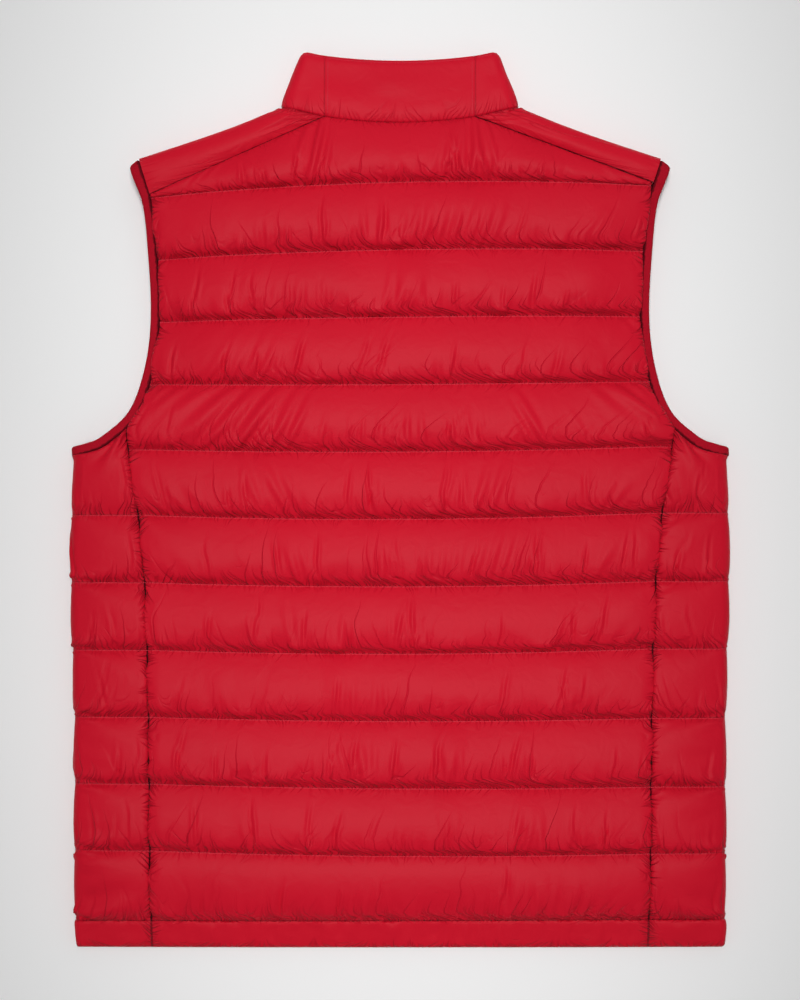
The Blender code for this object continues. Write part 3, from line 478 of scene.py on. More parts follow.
def woven_shell(name, colour, shade, crumple, depth, crease=0.0, seam_shade=1.0, puckers=1.6):
    """Filament cloth. Its threads are 0.25 mm apart, too fine to show, so the weave is drawn at 0.8 mm. crumple,
    depth and crease are heights in mm. The red is painted darker in the small folds and just above each seam, as
    painted shade; seam_shade sets how much of it lies beside the seams."""
    made, tree, shader = new_material(name, colour, 0.5, sheen=0.02)
    place = add(tree, "ShaderNodeTexCoord").outputs["Object"]
    cloud = add(tree, "ShaderNodeTexNoise", Vector=place, Scale=14.0, Detail=2.0)
    tint = add(tree, "ShaderNodeMix", {"data_type": "RGBA"}, i0=cloud.outputs[0], i6=linear(colour), i7=linear(shade))
    # Painted shade: the red is mixed towards the shade red in the small folds' valleys and beside the seams.
    small, long, seam_shade_mask = all_folds(tree, crease > 0, puckers)
    seam_shade_strength = add(tree, "ShaderNodeMath", TIMES, i0=seam_shade_mask, i1=seam_shade)
    painted_shade = add(tree, "ShaderNodeMath", {**TIMES_PLUS, "use_clamp": True}, i0=small, i1=0.13, i2=seam_shade_strength.outputs[0])
    red = add(tree, "ShaderNodeMix", {"data_type": "RGBA"}, i0=painted_shade.outputs[0], i6=tint.outputs[2], i7=linear(FOLD_SHADE_RED))
    tree.links.new(red.outputs[2], shader.inputs["Base Color"])
    shader.inputs["Sheen Roughness"].default_value = 0.4
    shader.inputs["Specular IOR Level"].default_value = 0.08
    threads = add(tree, "ShaderNodeTexNoise", Vector=place, Scale=1 / (0.8 * MM), Detail=0.0)
    crumpled = add(tree, "ShaderNodeTexNoise", Vector=place, Scale=1 / (13 * MM), Detail=2.0, Distortion=0.5)
    height = add(tree, "ShaderNodeMath", TIMES, i0=threads.outputs[0], i1=0.02)
    for field, tall in ((crumpled.outputs[0], crumple), (small, -depth), (long, -crease)):
        height = add(tree, "ShaderNodeMath", TIMES_PLUS, i0=field, i1=tall, i2=height.outputs[0])
    bump = add(tree, "ShaderNodeBump", Height=height.outputs[0], Strength=1.0, Distance=MM)
    tree.links.new(bump.outputs[0], shader.inputs["Normal"])
    return made


# These are one fabric. The quilted shell's red is set a little lower than the others as painted shade, to even out the
# brighter middle under the overhead lamp.
shell_cloth = woven_shell("woven_polyester_shell", "#CA1129", "#C21027", 0.5, 1.0, crease=0.8)
yoke_cloth = woven_shell("woven_polyester_yoke", "#CC1129", "#C41027", 0.5, 0.5, seam_shade=0.8, puckers=0.6)
collar_cloth = woven_shell("woven_polyester_collar", "#CD122A", "#C51128", 0.5, 0.4, seam_shade=0.15, puckers=0.0)
hem_cloth = woven_shell("woven_polyester_hem", "#CD132A", "#C51127", 0.8, 1.0, seam_shade=0.6, puckers=1.2)
print("shell cloths:", ", ".join(made.name for made in (shell_cloth, yoke_cloth, collar_cloth, hem_cloth)))

# %% [markdown]
# ## Binding, zip and thread
#
# The armholes are bound in matt knitted tape, which has no gloss at all. The zip has a woven tape, nylon coils and
# castings enamelled to match, and everything is sewn with spun thread. Each gets its colour and relief from one
# pattern at its real size, because a single flat colour would look like plastic.

# %% Knitted binding
def with_relief(made, pattern, tall, tone):
    """Gives a material a surface from a pattern node: relief tall mm high, in a second tone where it is low."""
    material, tree, shader = made
    bump = add(tree, "ShaderNodeBump", Height=pattern.outputs[0], Strength=0.6, Distance=tall * MM)
    tree.links.new(bump.outputs[0], shader.inputs["Normal"])
    first = tuple(shader.inputs["Base Color"].default_value)
    tint = add(tree, "ShaderNodeMix", {"data_type": "RGBA"}, i0=pattern.outputs[0], i6=linear(tone), i7=first)
    tree.links.new(tint.outputs[2], shader.inputs["Base Color"])
    return material


def knitted_binding():
    """Matt polyester tape. Its loops are 0.9 mm apart and scatter the light, so it has no shine. The quilting hangs
    over its inner edge, so a nearly black painted shadow lies along that edge, ragged like the puckers above it."""
    made = new_material("knitted_polyester_binding", "#B20C24", 0.85)
    made[2].inputs["Specular IOR Level"].default_value = 0.1
    place = add(made[1], "ShaderNodeTexCoord").outputs["Object"]
    loops = add(made[1], "ShaderNodeTexVoronoi", Vector=place, Scale=1 / (0.9 * MM))
    material = with_relief(made, loops, 0.15, "#9A081C")
    tree, shader = made[1:]
    cloth = add(tree, "ShaderNodeSeparateXYZ", Vector=add(tree, "ShaderNodeUVMap", {"uv_map": "cloth"}).outputs[0])
    # Painted shadow: a near-black band along the inner edge, under the overhanging quilting.
    ragged = add(tree, "ShaderNodeTexNoise", Vector=place, Scale=1 / (4 * MM), Detail=1.0)
    edge = add(tree, "ShaderNodeMath", TIMES_PLUS, i0=ragged.outputs[0], i1=0.35, i2=cloth.outputs[1])
    under = add(tree, "ShaderNodeMapRange", SMOOTHLY, Value=edge.outputs[0], From_Min=0.48, From_Max=0.32, To_Max=0.75)
    plain = shader.inputs["Base Color"].links[0].from_socket
    red = add(tree, "ShaderNodeMix", {"data_type": "RGBA"}, i0=under.outputs[0], i6=plain, i7=linear("#2E030A"))
    tree.links.new(red.outputs[2], shader.inputs["Base Color"])
    return material


# %% Zip and thread
def wave_scale(pitch):
    """The scale at which a diagonal wave texture has bands that many mm apart: it repeats 10 / (2 pi) times a unit
    along x + y, which is the square root of 2 farther than straight across the bands."""
    return 2 * math.pi / (10 * math.sqrt(2) * pitch * MM)


def woven_tape():
    """The zip's tape: a herringbone weave with ribs 1.2 mm apart, which looks striped from near by."""
    made = new_material("woven_polyester_zip_tape", "#B00F26", 0.8, sheen=0.05)
    place = add(made[1], "ShaderNodeTexCoord").outputs["Object"]
    ribs = add(made[1], "ShaderNodeTexWave", {"bands_direction": "DIAGONAL"}, Vector=place, Scale=wave_scale(1.2),
               Distortion=0.3, Detail=1.0)
    return with_relief(made, ribs, 0.2, "#940A1E")


def nylon_coil():
    """Extruded nylon, dyed to match. It is smooth and has a soft shine, with faint dye marks."""
    made = new_material("dyed_nylon_zip_coil", "#A60E24", 0.35)
    place = add(made[1], "ShaderNodeTexCoord").outputs["Object"]
    marks = add(made[1], "ShaderNodeTexNoise", Vector=place, Scale=1 / (2.5 * MM), Detail=2.0)
    return with_relief(made, marks, 0.04, "#8E091C")


def enamelled_zinc():
    """Die-cast zinc under baked enamel: glossy, with the faint ripple of a thick coat."""
    made = new_material("enamelled_zinc", "#A80E26", 0.28)
    made[2].inputs["Coat Weight"].default_value = 0.3
    place = add(made[1], "ShaderNodeTexCoord").outputs["Object"]
    ripple = add(made[1], "ShaderNodeTexNoise", Vector=place, Scale=1 / (1.6 * MM), Detail=1.0)
    return with_relief(made, ripple, 0.05, "#960B20")


def spun_thread():
    """Spun polyester sewing thread: two plies twisted together, painted paler than the cloth as a painted highlight,
    for the light it catches lying on top.
    """
    made = new_material("spun_polyester_thread", "#CE2A3E", 0.6, sheen=0.1)
    made[2].inputs["Specular IOR Level"].default_value = 0.15
    place = add(made[1], "ShaderNodeTexCoord").outputs["Object"]
    twist = add(made[1], "ShaderNodeTexWave", {"bands_direction": "DIAGONAL"}, Vector=place, Scale=wave_scale(0.6))
    return with_relief(made, twist, 0.05, "#B81A2E")


binding_cloth = knitted_binding()
tape_cloth = woven_tape()
coil_plastic = nylon_coil()
enamel = enamelled_zinc()
thread = spun_thread()
print("trimmings:", ", ".join(made.name for made in (binding_cloth, tape_cloth, coil_plastic, enamel, thread)))

# %% [markdown]
# ## Stitches
#
# A lockstitch shows as a row of short dashes that sink a little into the cloth. A dash could be drawn with bump,
# but real ones catch the light as a fine pale line beside each seam. So each is a small bar, and all those of one
# piece are joined into one mesh.

# %% Rows of stitches
STITCH = (2.5, 0.5, 0.4)  # length, width and thickness
STITCH_PITCH = 3.2


def even(points, steps):
    """That many steps of even length along a line of points."""
    points = np.asarray(points, float)
    far = np.concatenate([[0], np.cumsum(np.linalg.norm(np.diff(points[:, :3], axis=0), axis=1))])
    wanted = np.linspace(0, far[-1], steps + 1)
    return np.stack([np.interp(wanted, far, points[:, i]) for i in range(points.shape[1])], 1)


def stitch_rows(name, rows):
    """rows is a list of (points, normals): lines on the cloth, each with its direction off the cloth."""
    bm = bmesh.new()
    for points, normals in rows:
        line = np.concatenate([points, np.broadcast_to(normals, points.shape)], axis=1)
        length = np.linalg.norm(np.diff(points, axis=0), axis=1).sum()
        ends = even(line, max(2, round(length / STITCH_PITCH)))
        for start, end in zip(ends[:-1], ends[1:]):
            along = Vector(end[:3] - start[:3]).normalized()
            off = Vector(start[3:] + end[3:]).normalized()
            across = off.cross(along).normalized()
            turn = Matrix((along, across, along.cross(across))).transposed().to_4x4()
            place = Matrix.Translation(Vector((start[:3] + end[:3]) / 2) * MM)
            bmesh.ops.create_cube(bm, size=MM, matrix=place @ turn @ Matrix.Diagonal((*STITCH, 1.0)))
    mesh = bpy.data.meshes.new(name)
    bm.to_mesh(mesh)
    bm.free()
    return show(name, mesh, None, thread)


# %% [markdown]
# ## Quilted panels
#
# The back is one wide panel with lines of quilting across it; the fronts lie under it, and a side panel wraps
# round each side. Their skins are stitched down at every line and round their borders, so those points stay
# still, and the cloth between them settles. It has more spare length just above a line than just below one,
# which is where the folds come from. Sharp creases are narrower than the grid can settle into, so they are
# added afterwards on a finer grid.

# %% How full a channel is
STITCHED = 1.2  # half thickness under a line of stitching
SEAM_REACH = 13  # how far from a side seam the cloth has risen to its full height


def channel_shares(per_channel):
    """Shares of a channel for its rows, closer together beside the lines, where the cloth turns sharply."""
    even_shares = np.arange(per_channel) / per_channel
    return even_shares - 0.5 * np.sin(2 * np.pi * even_shares) / (2 * np.pi)


def filling(share, low_reach, high_reach):
    """How far the filling keeps the skin out, 0 to 1: steep above the lower line, gentle to the upper one."""
    low, high = np.clip(share / low_reach, 0, 1), np.clip((1 - share) / high_reach, 0, 1)
    return (1 - (1 - low) ** 2) ** 0.72 * np.sin(np.pi / 2 * high) ** 0.9


# %% Creases narrower than the grid
def crease(rng, x, share, foot, lean, reach):
    """One fold from the lower line: a narrow valley beside a ridge."""
    width = rng.uniform(1.15, 1.6)
    kink = rng.uniform(-3, 3) * smooth((share - rng.uniform(0.2, 0.5)) / 0.15)
    middle = foot + lean * share + kink + rng.uniform(0.3, 1.0) * np.sin(share * rng.uniform(5, 10) + rng.uniform(0, 6))
    start = rng.uniform(0.0, 0.12)
    fade = smooth((reach - share) / (0.5 * reach)) * smooth((share - start) / 0.08)
    side = rng.choice([-1, 1])
    valley = np.exp(-(((x - middle) / width) ** 2))
    ridge = np.exp(-(((x - middle - side * 1.9 * width) / (1.1 * width)) ** 2))
    return fade * (0.8 * ridge - valley)


def creases(rng, x, share, spacing):
    """Heights of the folds of one channel. x and share are rows x columns."""
    found = np.zeros_like(x)
    place, last = x.min() + rng.uniform(4, spacing), x.max() - 4
    while place < last:
        long = rng.random() < 0.6
        reach = rng.uniform(0.5, 0.98) if long else rng.uniform(0.2, 0.4)
        lean = rng.uniform(-8, 10) * (-1 if rng.random() < 0.35 else 1)
        strength = rng.uniform(0.6, 1.25) * (1.0 if long else 0.8)
        found += strength * crease(rng, x, share, place, lean, reach)
        if rng.random() < 0.35:
            foot, other_lean = place + rng.uniform(-2, 2), lean - np.sign(lean) * rng.uniform(8, 16)
            found += 0.7 * strength * crease(rng, x, share, foot, other_lean, 0.6 * reach)
        place += rng.uniform(0.25, 1.5) * spacing
    return found


# %% Finer and outward tables
def finer_columns(table):
    """Twice as many columns, on a smooth curve through the old ones."""
    made = np.zeros((table.shape[0], 2 * table.shape[1] - 1, table.shape[2]))
    made[:, ::2] = table
    wide = np.concatenate([2 * table[:, :1] - table[:, 1:2], table, 2 * table[:, -1:] - table[:, -2:-1]], axis=1)
    made[:, 1::2] = (9 * (wide[:, 1:-2] + wide[:, 2:-1]) - wide[:, :-3] - wide[:, 3:]) / 16
    return made


def distance_along(points):
    """How far each point of each row is from the row's start."""
    return np.concatenate([np.zeros((points.shape[0], 1)), np.cumsum(lengths(points)[0], axis=1)], axis=1)


def outwards_like(points, normals):
    """Normals of a grid of points, turned to the side that normals are on."""
    found = np.cross(np.gradient(points, axis=1), np.gradient(points, axis=0))
    found /= np.linalg.norm(found, axis=-1, keepdims=True) + 1e-9
    return found * np.sign((found * normals).sum(-1, keepdims=True))


# %% The outer skin of a quilted panel
def quilted(rng, base, normals, per_channel, full, spare=(0.05, 0.04), sag=0.008, ground=None, depth=1.2, spacing=44,
            low_reach=0.38, bulge=0.0, push=0.03, stiffness=0.3):
    """The outer skin of a quilted panel. base is a grid with per_channel rows to each channel, on the stitched
    surface; full is how far the filling stands out at each point. spare is how much longer than its seams the
    cloth is, across and up; bulge is how far it hangs over its side seams. Returns twice as many columns."""
    rows, columns = base.shape[:2]
    channels = (rows - 1) // per_channel
    share = np.append(np.tile(channel_shares(per_channel), channels), 0.0)
    share = np.broadcast_to(share[:, None], (rows, columns))
    free = np.ones((rows, columns))
    free[::per_channel] = 0
    free[:, 0] = free[:, -1] = 0
    uneven_seam = uneven(rng, rows, columns, 1.3, 3) * (1 - free)
    base = base + normals * (0.1 * uneven_seam)[..., None]
    base[..., 1] += 0.15 * uneven(rng, rows, columns, 1.5, 4) * (1 - free)
    base[:, [0, -1], 0] += 0.35 * uneven(rng, rows, 2, 1.6, 1)
    along = distance_along(base)
    border = np.clip(np.minimum(along, along[:, -1:] - along) / SEAM_REACH, 0, 1)
    edge = np.sqrt(border * (2 - border))
    patchy = uneven(rng, rows, columns, per_channel, 7) + 0.6 * uneven(rng, rows, columns, per_channel, 3)
    reach = np.clip(low_reach * (1 + 0.45 * patchy), 0.12, 0.6)
    puff = full * edge * (1 + 0.06 * uneven(rng, rows, columns, per_channel, 12))
    floor = np.where(free > 0, filling(share, reach, 0.62) * puff * 0.92 * smooth((share - 0.01) / 0.12), 0)
    cloth = base + normals * (filling(share, low_reach, 0.6) * puff * 0.9 * free)[..., None]
    cloth = cloth + normals * (rng.normal(0, 0.3, share.shape) * free * np.sin(np.pi * share))[..., None]
    rest_x, rest_y = lengths(base)
    loose = np.clip(0.8 + 0.9 * uneven(rng, rows, columns, per_channel, 14), 0.1, 2.2)
    low = smooth(share[:, 1:] / 0.16) * (1 - share[:, 1:]) ** 2.4
    rest_x = rest_x * (1 + spare[0] * (0.05 + 1.2 * low) * loose[:, 1:])
    rest_y = rest_y * (1 + spare[1] * loose[1:])
    pull = np.zeros(base.shape)
    pull[..., 1] = -sag * np.clip(normals[..., 2], 0, 1)
    cloth = settle(cloth, normals, free, rest_x, rest_y, floor, push, pull, base=base, stiffness=stiffness,
                   ground=ground)
    cloth, normals = finer_columns(cloth), finer_columns(normals)
    share = np.broadcast_to(share[:, :1], cloth.shape[:2])
    along = distance_along(cloth)
    border = smooth(np.minimum(along, along[:, -1:] - along) / 10)
    height = np.zeros(cloth.shape[:2])
    for channel in range(channels):
        part = slice(channel * per_channel, (channel + 1) * per_channel)
        height[part] = creases(rng, along[part], share[part], spacing)
    cloth = cloth + outwards_like(cloth, normals) * (height * depth * border)[..., None]
    if bulge:
        far = np.minimum(along, along[:, -1:] - along)
        over = np.exp(-((far - 3.5) / 3.0) ** 2) * np.sin(np.pi * share) ** 0.5
        over = over * (1 + 0.9 * uneven(rng, *far.shape, 3, 400))
        cloth[..., 0] += bulge * over * np.sign(np.arange(far.shape[1]) - far.shape[1] / 2)
    if ground is not None:
        cloth[..., 2] = np.maximum(cloth[..., 2], ground)
    return cloth


# %% A quilted piece from its middle surface
def quilted_piece(name, node, seed, middle, normals, per_channel, out, inside, ground=None, surface=shell_cloth,
                  **cloth):
    """middle is the middle of the wall where it is stitched; out and inside are how far the filling swells it on
    its two sides."""
    rng = np.random.default_rng(seed)
    skin = quilted(rng, middle + normals * STITCHED, normals, per_channel, out, ground=ground, **cloth)
    step = (4, 2)
    few = middle[::step[0], ::step[1]]
    channels = (middle.shape[0] - 1) // per_channel
    numbers = np.repeat(np.arange(channels), per_channel)
    shares = np.append(np.tile(channel_shares(per_channel), channels) + numbers, channels)
    share = shares[::step[0]] % 1.0
    swell = np.sin(np.pi * share)[:, None] ** 0.6 * np.sin(np.pi * np.linspace(0, 1, few.shape[1])) ** 0.3
    inner = few - normals[::step[0], ::step[1]] * (STITCHED + inside[::step[0], ::step[1]] * swell)[..., None]
    inner[..., 2] = np.maximum(inner[..., 2], 0.1)
    mesh = wall(name, skin, inner, 4, distance_along(skin), shares)
    show(name, mesh, node, surface)
    facing = finer_columns(normals)
    lines = range(per_channel, (channels - 1) * per_channel + 1, per_channel)
    rows = [(skin[row] + facing[row] * 0.1 - [0, 0.45, 0], facing[row]) for row in lines]
    if rows:
        stitch_rows(f"{name}_stitches", rows)


# %% Back panel
def channel_table(last, per_channel):
    """For each row of points: the line of quilting below it, and its share of the channel."""
    rows = np.arange((last + 1) * per_channel + 1)
    line = np.minimum(rows // per_channel, last)
    shares = np.append(np.tile(channel_shares(per_channel), last + 1), 1.0)
    return line, shares


def between_lines(line, share, x, last, top):
    low = quilt_y(line, x)
    high = np.where(line < last, quilt_y(np.minimum(line + 1, TOP_LINE), x), top)
    return low + share * (high - low), high - low


def back_middle(per_channel, columns):
    line, share = channel_table(TOP_LINE, per_channel)
    across = np.linspace(-1, 1, columns + 1)
    made = np.zeros((len(line), columns + 1, 3))
    height = np.zeros(made.shape[:2])
    for side in (-1, 1):
        corner, half = yoke_corner(side), across * side >= 0
        edge = panel_edge_x(between_lines(line, share, side * HALF_BACK, TOP_LINE, corner[1])[0])
        x = across[half][None] * edge[:, None]
        top = back_top_y(across[half] * corner[0], side)[None]
        y, height[:, half] = between_lines(line[:, None], share[:, None], x, TOP_LINE, top)
        made[:, half, 0], made[:, half, 1] = x, y
    made[0, :, 1] += SEAM_GAP / 2
    made[..., 2] = back_height(made[..., 0], made[..., 1])
    return made, height


# %% The back panel's filling
FULL_CHANNEL = 42  # a channel that is less high than this swells less


def make_back_panel():
    middle, height = back_middle(20, 188)
    normals = np.broadcast_to([0.0, 0.0, 1.0], middle.shape)
    full = smooth(height / FULL_CHANNEL)
    out = (8.6 - 1.8 * (middle[..., 0] / CHEST_HALF_WIDTH) ** 2) * full
    inside = np.clip(back_height(middle[..., 0], middle[..., 1]) - 17, 0, 7) * full
    quilted_piece("quilted_back", "back_panel", 11, middle, normals, 20, out, inside, bulge=2.0)


make_back_panel()

# %% [markdown]
# ## Sides and fronts
#
# The side panels have no seam at the side of the body. Each starts at a seam on the back, turns round the fold
# where the vest lies on itself, and ends at a seam on the front. A row of points is laid along that path, and
# the same cloth settles on it.

# %% Paths that turn round a fold
def round_fold(back, edge, front, steps):
    """A path on the back layer to the fold, round it, and on along the front layer. back and front are points
    (x, y), and edge is the outermost one. steps are for the three stretches."""
    back, edge, front = np.array(back, float), np.array(edge, float), np.array(front, float)
    out = (edge - back[-1]) / np.linalg.norm(edge - back[-1])
    top, bottom = float(back_height(*edge)), float(front_height(edge[1]))
    radius = (top - bottom) / 2
    centre = edge - out * radius
    above = even(np.vstack([back, centre]), steps[0])
    below = even(np.vstack([centre, front]), steps[2])
    above = np.column_stack([above, back_height(above[:, 0], above[:, 1])])
    below = np.column_stack([below, front_height(below[:, 1])])
    angle = np.linspace(math.pi / 2, -math.pi / 2, steps[1] + 1)[1:-1]
    plan = centre + out * radius * np.cos(angle)[:, None]
    turn = np.column_stack([plan, (top + bottom) / 2 + radius * np.sin(angle)])
    turned = np.column_stack([out * np.cos(angle)[:, None], np.sin(angle)])
    normals = np.vstack([np.tile([0.0, 0, 1], (len(above), 1)), turned, np.tile([0.0, 0, -1], (len(below), 1))])
    return np.vstack([above, turn, below]), normals


def mirrored(points, side):
    """The right side's points, moved to that side."""
    return points * np.array([side, 1.0, 1.0])


SIDES = (("left", -1), ("right", 1))

# %% Side panels
def side_middle(side, per_channel, steps):
    line, share = channel_table(SIDE_TOP_LINE, per_channel)
    seam_top = armhole_y(SIDE_SEAM_TOP_X, INNER_EDGE) - SEAM_GAP
    ys = between_lines(line, share, side * HALF_BACK, SIDE_TOP_LINE, seam_top)[0]
    ys[0] += SEAM_GAP / 2
    rows = []
    for y in ys:
        seam = float(side_seam_x(y))
        fold = float(side_fold_x(y) - 2.0 - 2.2 * smooth((y + 30) / 66))
        rows.append(round_fold([(seam, y)], (fold, y), [(seam, y)], steps))
    middle, normals = (np.array([row[i] for row in rows]) for i in (0, 1))
    last = line == SIDE_TOP_LINE
    top = armhole_y(middle[last, :, 0], INNER_EDGE) - SEAM_GAP
    line, share = line[last][:, None], share[last][:, None]
    middle[last, :, 1] = between_lines(line, share, side * HALF_BACK, SIDE_TOP_LINE, top)[0]
    return mirrored(middle, side), mirrored(normals, side)


for word, side in SIDES:
    middle, normals = side_middle(side, 20, (18, 12, 18))
    far = np.abs(middle[..., 0]) - np.abs(middle[:, :1, 0])
    out = np.where(normals[..., 2] > 0.999, 8.2 - 6.4 * np.clip(far / 47, 0, 1) ** 1.3, 1.8)
    inside = 3.0 + 0 * out
    quilted_piece(f"quilted_side_{word}", f"side_panel_{word}", 21 + side, middle, normals, 20, out, inside,
                  ground=0.0, spare=(0.04, 0.05), spacing=34, sag=0.004)

# %% [markdown]
# ## Fronts
#
# The fronts lie under the back and can't be seen from above, so they are finished plainly. They have the same
# lines of quilting as the back, a lower neckline, and their filling is flattened where they rest on the table.

# %% Fronts
def front_middle(side, per_channel, columns):
    line, share = channel_table(TOP_LINE, per_channel)
    corner = yoke_corner(side)
    edge = panel_edge_x(between_lines(line, share, side * HALF_BACK, TOP_LINE, corner[1])[0])
    across = np.linspace(0, 1, columns + 1)
    x = FRONT_EDGE_X + across[None] * (edge[:, None] - FRONT_EDGE_X)
    top = front_top_y(FRONT_EDGE_X + across * (corner[0] - FRONT_EDGE_X), side)[None]
    y, height = between_lines(line[:, None], share[:, None], side * x, TOP_LINE, top)
    y[0] += SEAM_GAP / 2
    return np.stack([side * x, y, front_height(y)], -1), height


for word, side in SIDES:
    middle, height = front_middle(side, 12, 60)
    normals = np.broadcast_to([0.0, 0.0, -1.0], middle.shape)
    full = smooth(height / FULL_CHANNEL)
    quilted_piece(f"quilted_front_{word}", f"front_panel_{word}", 31 + side, middle, normals, 12, 6.0 * full,
                  5.0 * full, ground=0.0)

# %% [markdown]
# ## Yokes
#
# A yoke is a smooth padded piece on each shoulder. It reaches from the collar to the armhole and over the
# shoulder fold. It has no quilting, only the pull of the seams at its corners. It is a loft between two paths that
# turn round the fold, one at the collar and one at the armhole, and it settles as the quilting does, but with
# softer cloth and hardly any push, so that the shoulder stays straight.

# %% Yokes
def neck_path(gap, seam_gaps, steps, front=None):
    """The seam between a yoke and a collar side, moved off it by gap, and on along front."""
    corner = np.array([COLLAR_SEAM_X, float(neck_y(COLLAR_SEAM_X))])
    along = (NECK_POINT - corner) / np.linalg.norm(NECK_POINT - corner)
    off = np.array([-along[1], along[0]]) * gap
    edge = NECK_POINT - along * STITCHED
    front = front or [(FRONT_YOKE_X - gap, float(front_neck_y(FRONT_YOKE_X)) + SEAM_GAP)]
    first = corner + np.array(seam_gaps) * SEAM_GAP
    return round_fold([first, corner + (edge - corner) * 0.22 + off], edge + off, front, steps)


def loft(start, end, shares):
    share = np.asarray(shares)[:, None, None]
    middle = start[0][None] * (1 - share) + end[0][None] * share
    normals = start[1][None] * (1 - share) + end[1][None] * share
    return middle, normals / np.linalg.norm(normals, axis=-1, keepdims=True)


def make_yoke(word, side):
    steps = (36, 14, 26)
    corner = yoke_corner(side)
    first = corner + np.array([0, SEAM_GAP])
    out = (SHOULDER_TIP - corner) / np.linalg.norm(SHOULDER_TIP - corner)
    edge = SHOULDER_TIP - np.array([out[1], -out[0]]) * SEAM_GAP - out * STITCHED
    start = neck_path(-SEAM_GAP, (1, 1), steps)
    end = round_fold([first], edge, [first], steps)
    shares = np.append(channel_shares(64), 1.0)
    middle, normals = loft(start, end, shares)
    across = np.linspace(0, 1, middle.shape[1])
    middle[..., 1] -= 3.4 * np.sin(np.pi * shares**0.6)[:, None] * np.sin(np.pi * across)[None] ** 0.7
    middle, normals = mirrored(middle, side), mirrored(normals, side)
    part = np.clip(np.arange(middle.shape[1]) / steps[0], 0, 1)[None]
    out = np.broadcast_to(0.8 + 2.6 * np.sin(np.pi * part) ** 0.7, middle.shape[:2])
    quilted_piece(f"shoulder_yoke_cloth_{word}", f"shoulder_yoke_{word}", 41 + side, middle, normals, 64, out,
                  1.5 + 0 * out, ground=0.0, spare=(0.0, 0.0), depth=0.4, spacing=80, sag=0.0, push=0.002,
                  stiffness=0.02, surface=yoke_cloth)


for word, side in SIDES:
    make_yoke(word, side)

# %% [markdown]
# ## Folded strips
#
# The collar, the hem band and the bindings are strips of cloth folded double. They hardly swell, so they need no
# simulation: their thickness is drawn directly and falls to nothing at the folded edge, and small waves stand for
# the gathers where a seam pulls.

# %% A folded strip
def strip(name, node, middle, normals, half, wrinkle, surface):
    """A wall whose half thickness is given at each point. wrinkle is how far its outer skin waves."""
    skin = middle + normals * (half + wrinkle)[..., None]
    inner = (middle - normals * half[..., None])[::2, ::2]
    for table in (skin, inner):
        table[..., 2] = np.maximum(table[..., 2], 0.05)
    mesh = wall(name, skin, inner, 2, distance_along(skin), np.linspace(0, 0.999, skin.shape[0]))
    return show(name, mesh, node, surface)


def folded_edge(share, reach):
    """0 at a folded edge, where share is 0, and 1 from reach on."""
    s = np.clip(share / reach, 0, 1)
    return np.sqrt(s * (2 - s))


def gathers(rng, rows, columns, step, low, high):
    """Small upright waves, strongest at the seams: low at the first row, high at the last."""
    share = np.linspace(0, 1, rows)[:, None]
    near = low * np.clip(1 - share / 0.45, 0, 1) + high * np.clip((share - 0.75) / 0.25, 0, 1)
    return uneven(rng, rows, columns, rows / 1.4, step) * near


# %% [markdown]
# ## Collar
#
# The stand collar is lightly padded and lies flat: a middle piece behind, and two sides that run from its upright
# seams round the fold to the front edges. It could be one curved strip, but the real one is cut in three, and the
# two seams show. Stitching runs beside them and just below the top edge.

# %% Collar
COLLAR_FULL, COLLAR_SEWN = 3.4, 0.9  # half thickness in the middle and at the neck seam
COLLAR_HEIGHT = 55
STITCHING_IN = 2.4  # how far the stitching runs from an edge or a seam


def collar_half(middle, seam_rows):
    """Half thickness of the collar: thin at the neck seam, full, then folded over at the top."""
    share = np.linspace(0, 1, middle.shape[0])[:, None]
    swell = (COLLAR_FULL - COLLAR_SEWN) * folded_edge(share, 0.3) * folded_edge(1 - share, 0.16) * seam_rows
    return COLLAR_SEWN + swell - 0.75 * (1 - folded_edge(1 - share, 0.05))


def collar_dimple(middle):
    """The groove that the stitching draws in below the top edge."""
    share = np.linspace(0, 1, middle.shape[0])[:, None]
    return -0.45 * np.exp(-(((1 - share) * COLLAR_HEIGHT - STITCHING_IN) / 0.7) ** 2)


def seam_dimple(beside):
    """The same along an upright seam, fainter."""
    return 0.12 * np.exp(-((beside - STITCHING_IN) / 0.8) ** 2)


def make_collar_back():
    rng = np.random.default_rng(51)
    x = np.linspace(-COLLAR_SEAM_X, COLLAR_SEAM_X, 97)[None]
    share = np.linspace(0, 1, 49)[:, None]
    bottom = neck_y(x) + SEAM_GAP
    y = bottom + (collar_top_y(x, COLLAR_DIPS[0]) - bottom) * share
    middle = np.stack([np.broadcast_to(x, y.shape), y, back_height(x, y)], -1)
    normals = np.broadcast_to([0.0, 0.0, 1.0], middle.shape)
    beside = np.minimum(x + COLLAR_SEAM_X, COLLAR_SEAM_X - x)
    half = collar_half(middle, 0.9 + 0.1 * folded_edge(beside, 3.0))
    wave = collar_dimple(middle) + 0.8 * uneven(rng, 49, 97, 16, 22) * np.sin(np.pi * share)
    wave = wave + gathers(rng, 49, 97, 4, 0.5, 0.1) - seam_dimple(beside)
    strip("collar_cloth_back", "collar_back", middle, normals, half, wave, collar_cloth)
    skin = middle + normals * (half + wave)[..., None]
    rows = [(skin[2:-2, column], normals[2:-2, column]) for column in (2, -3)] + [(skin[-3, 2:-2], normals[-3, 2:-2])]
    stitch_rows("collar_stitches_back", rows)


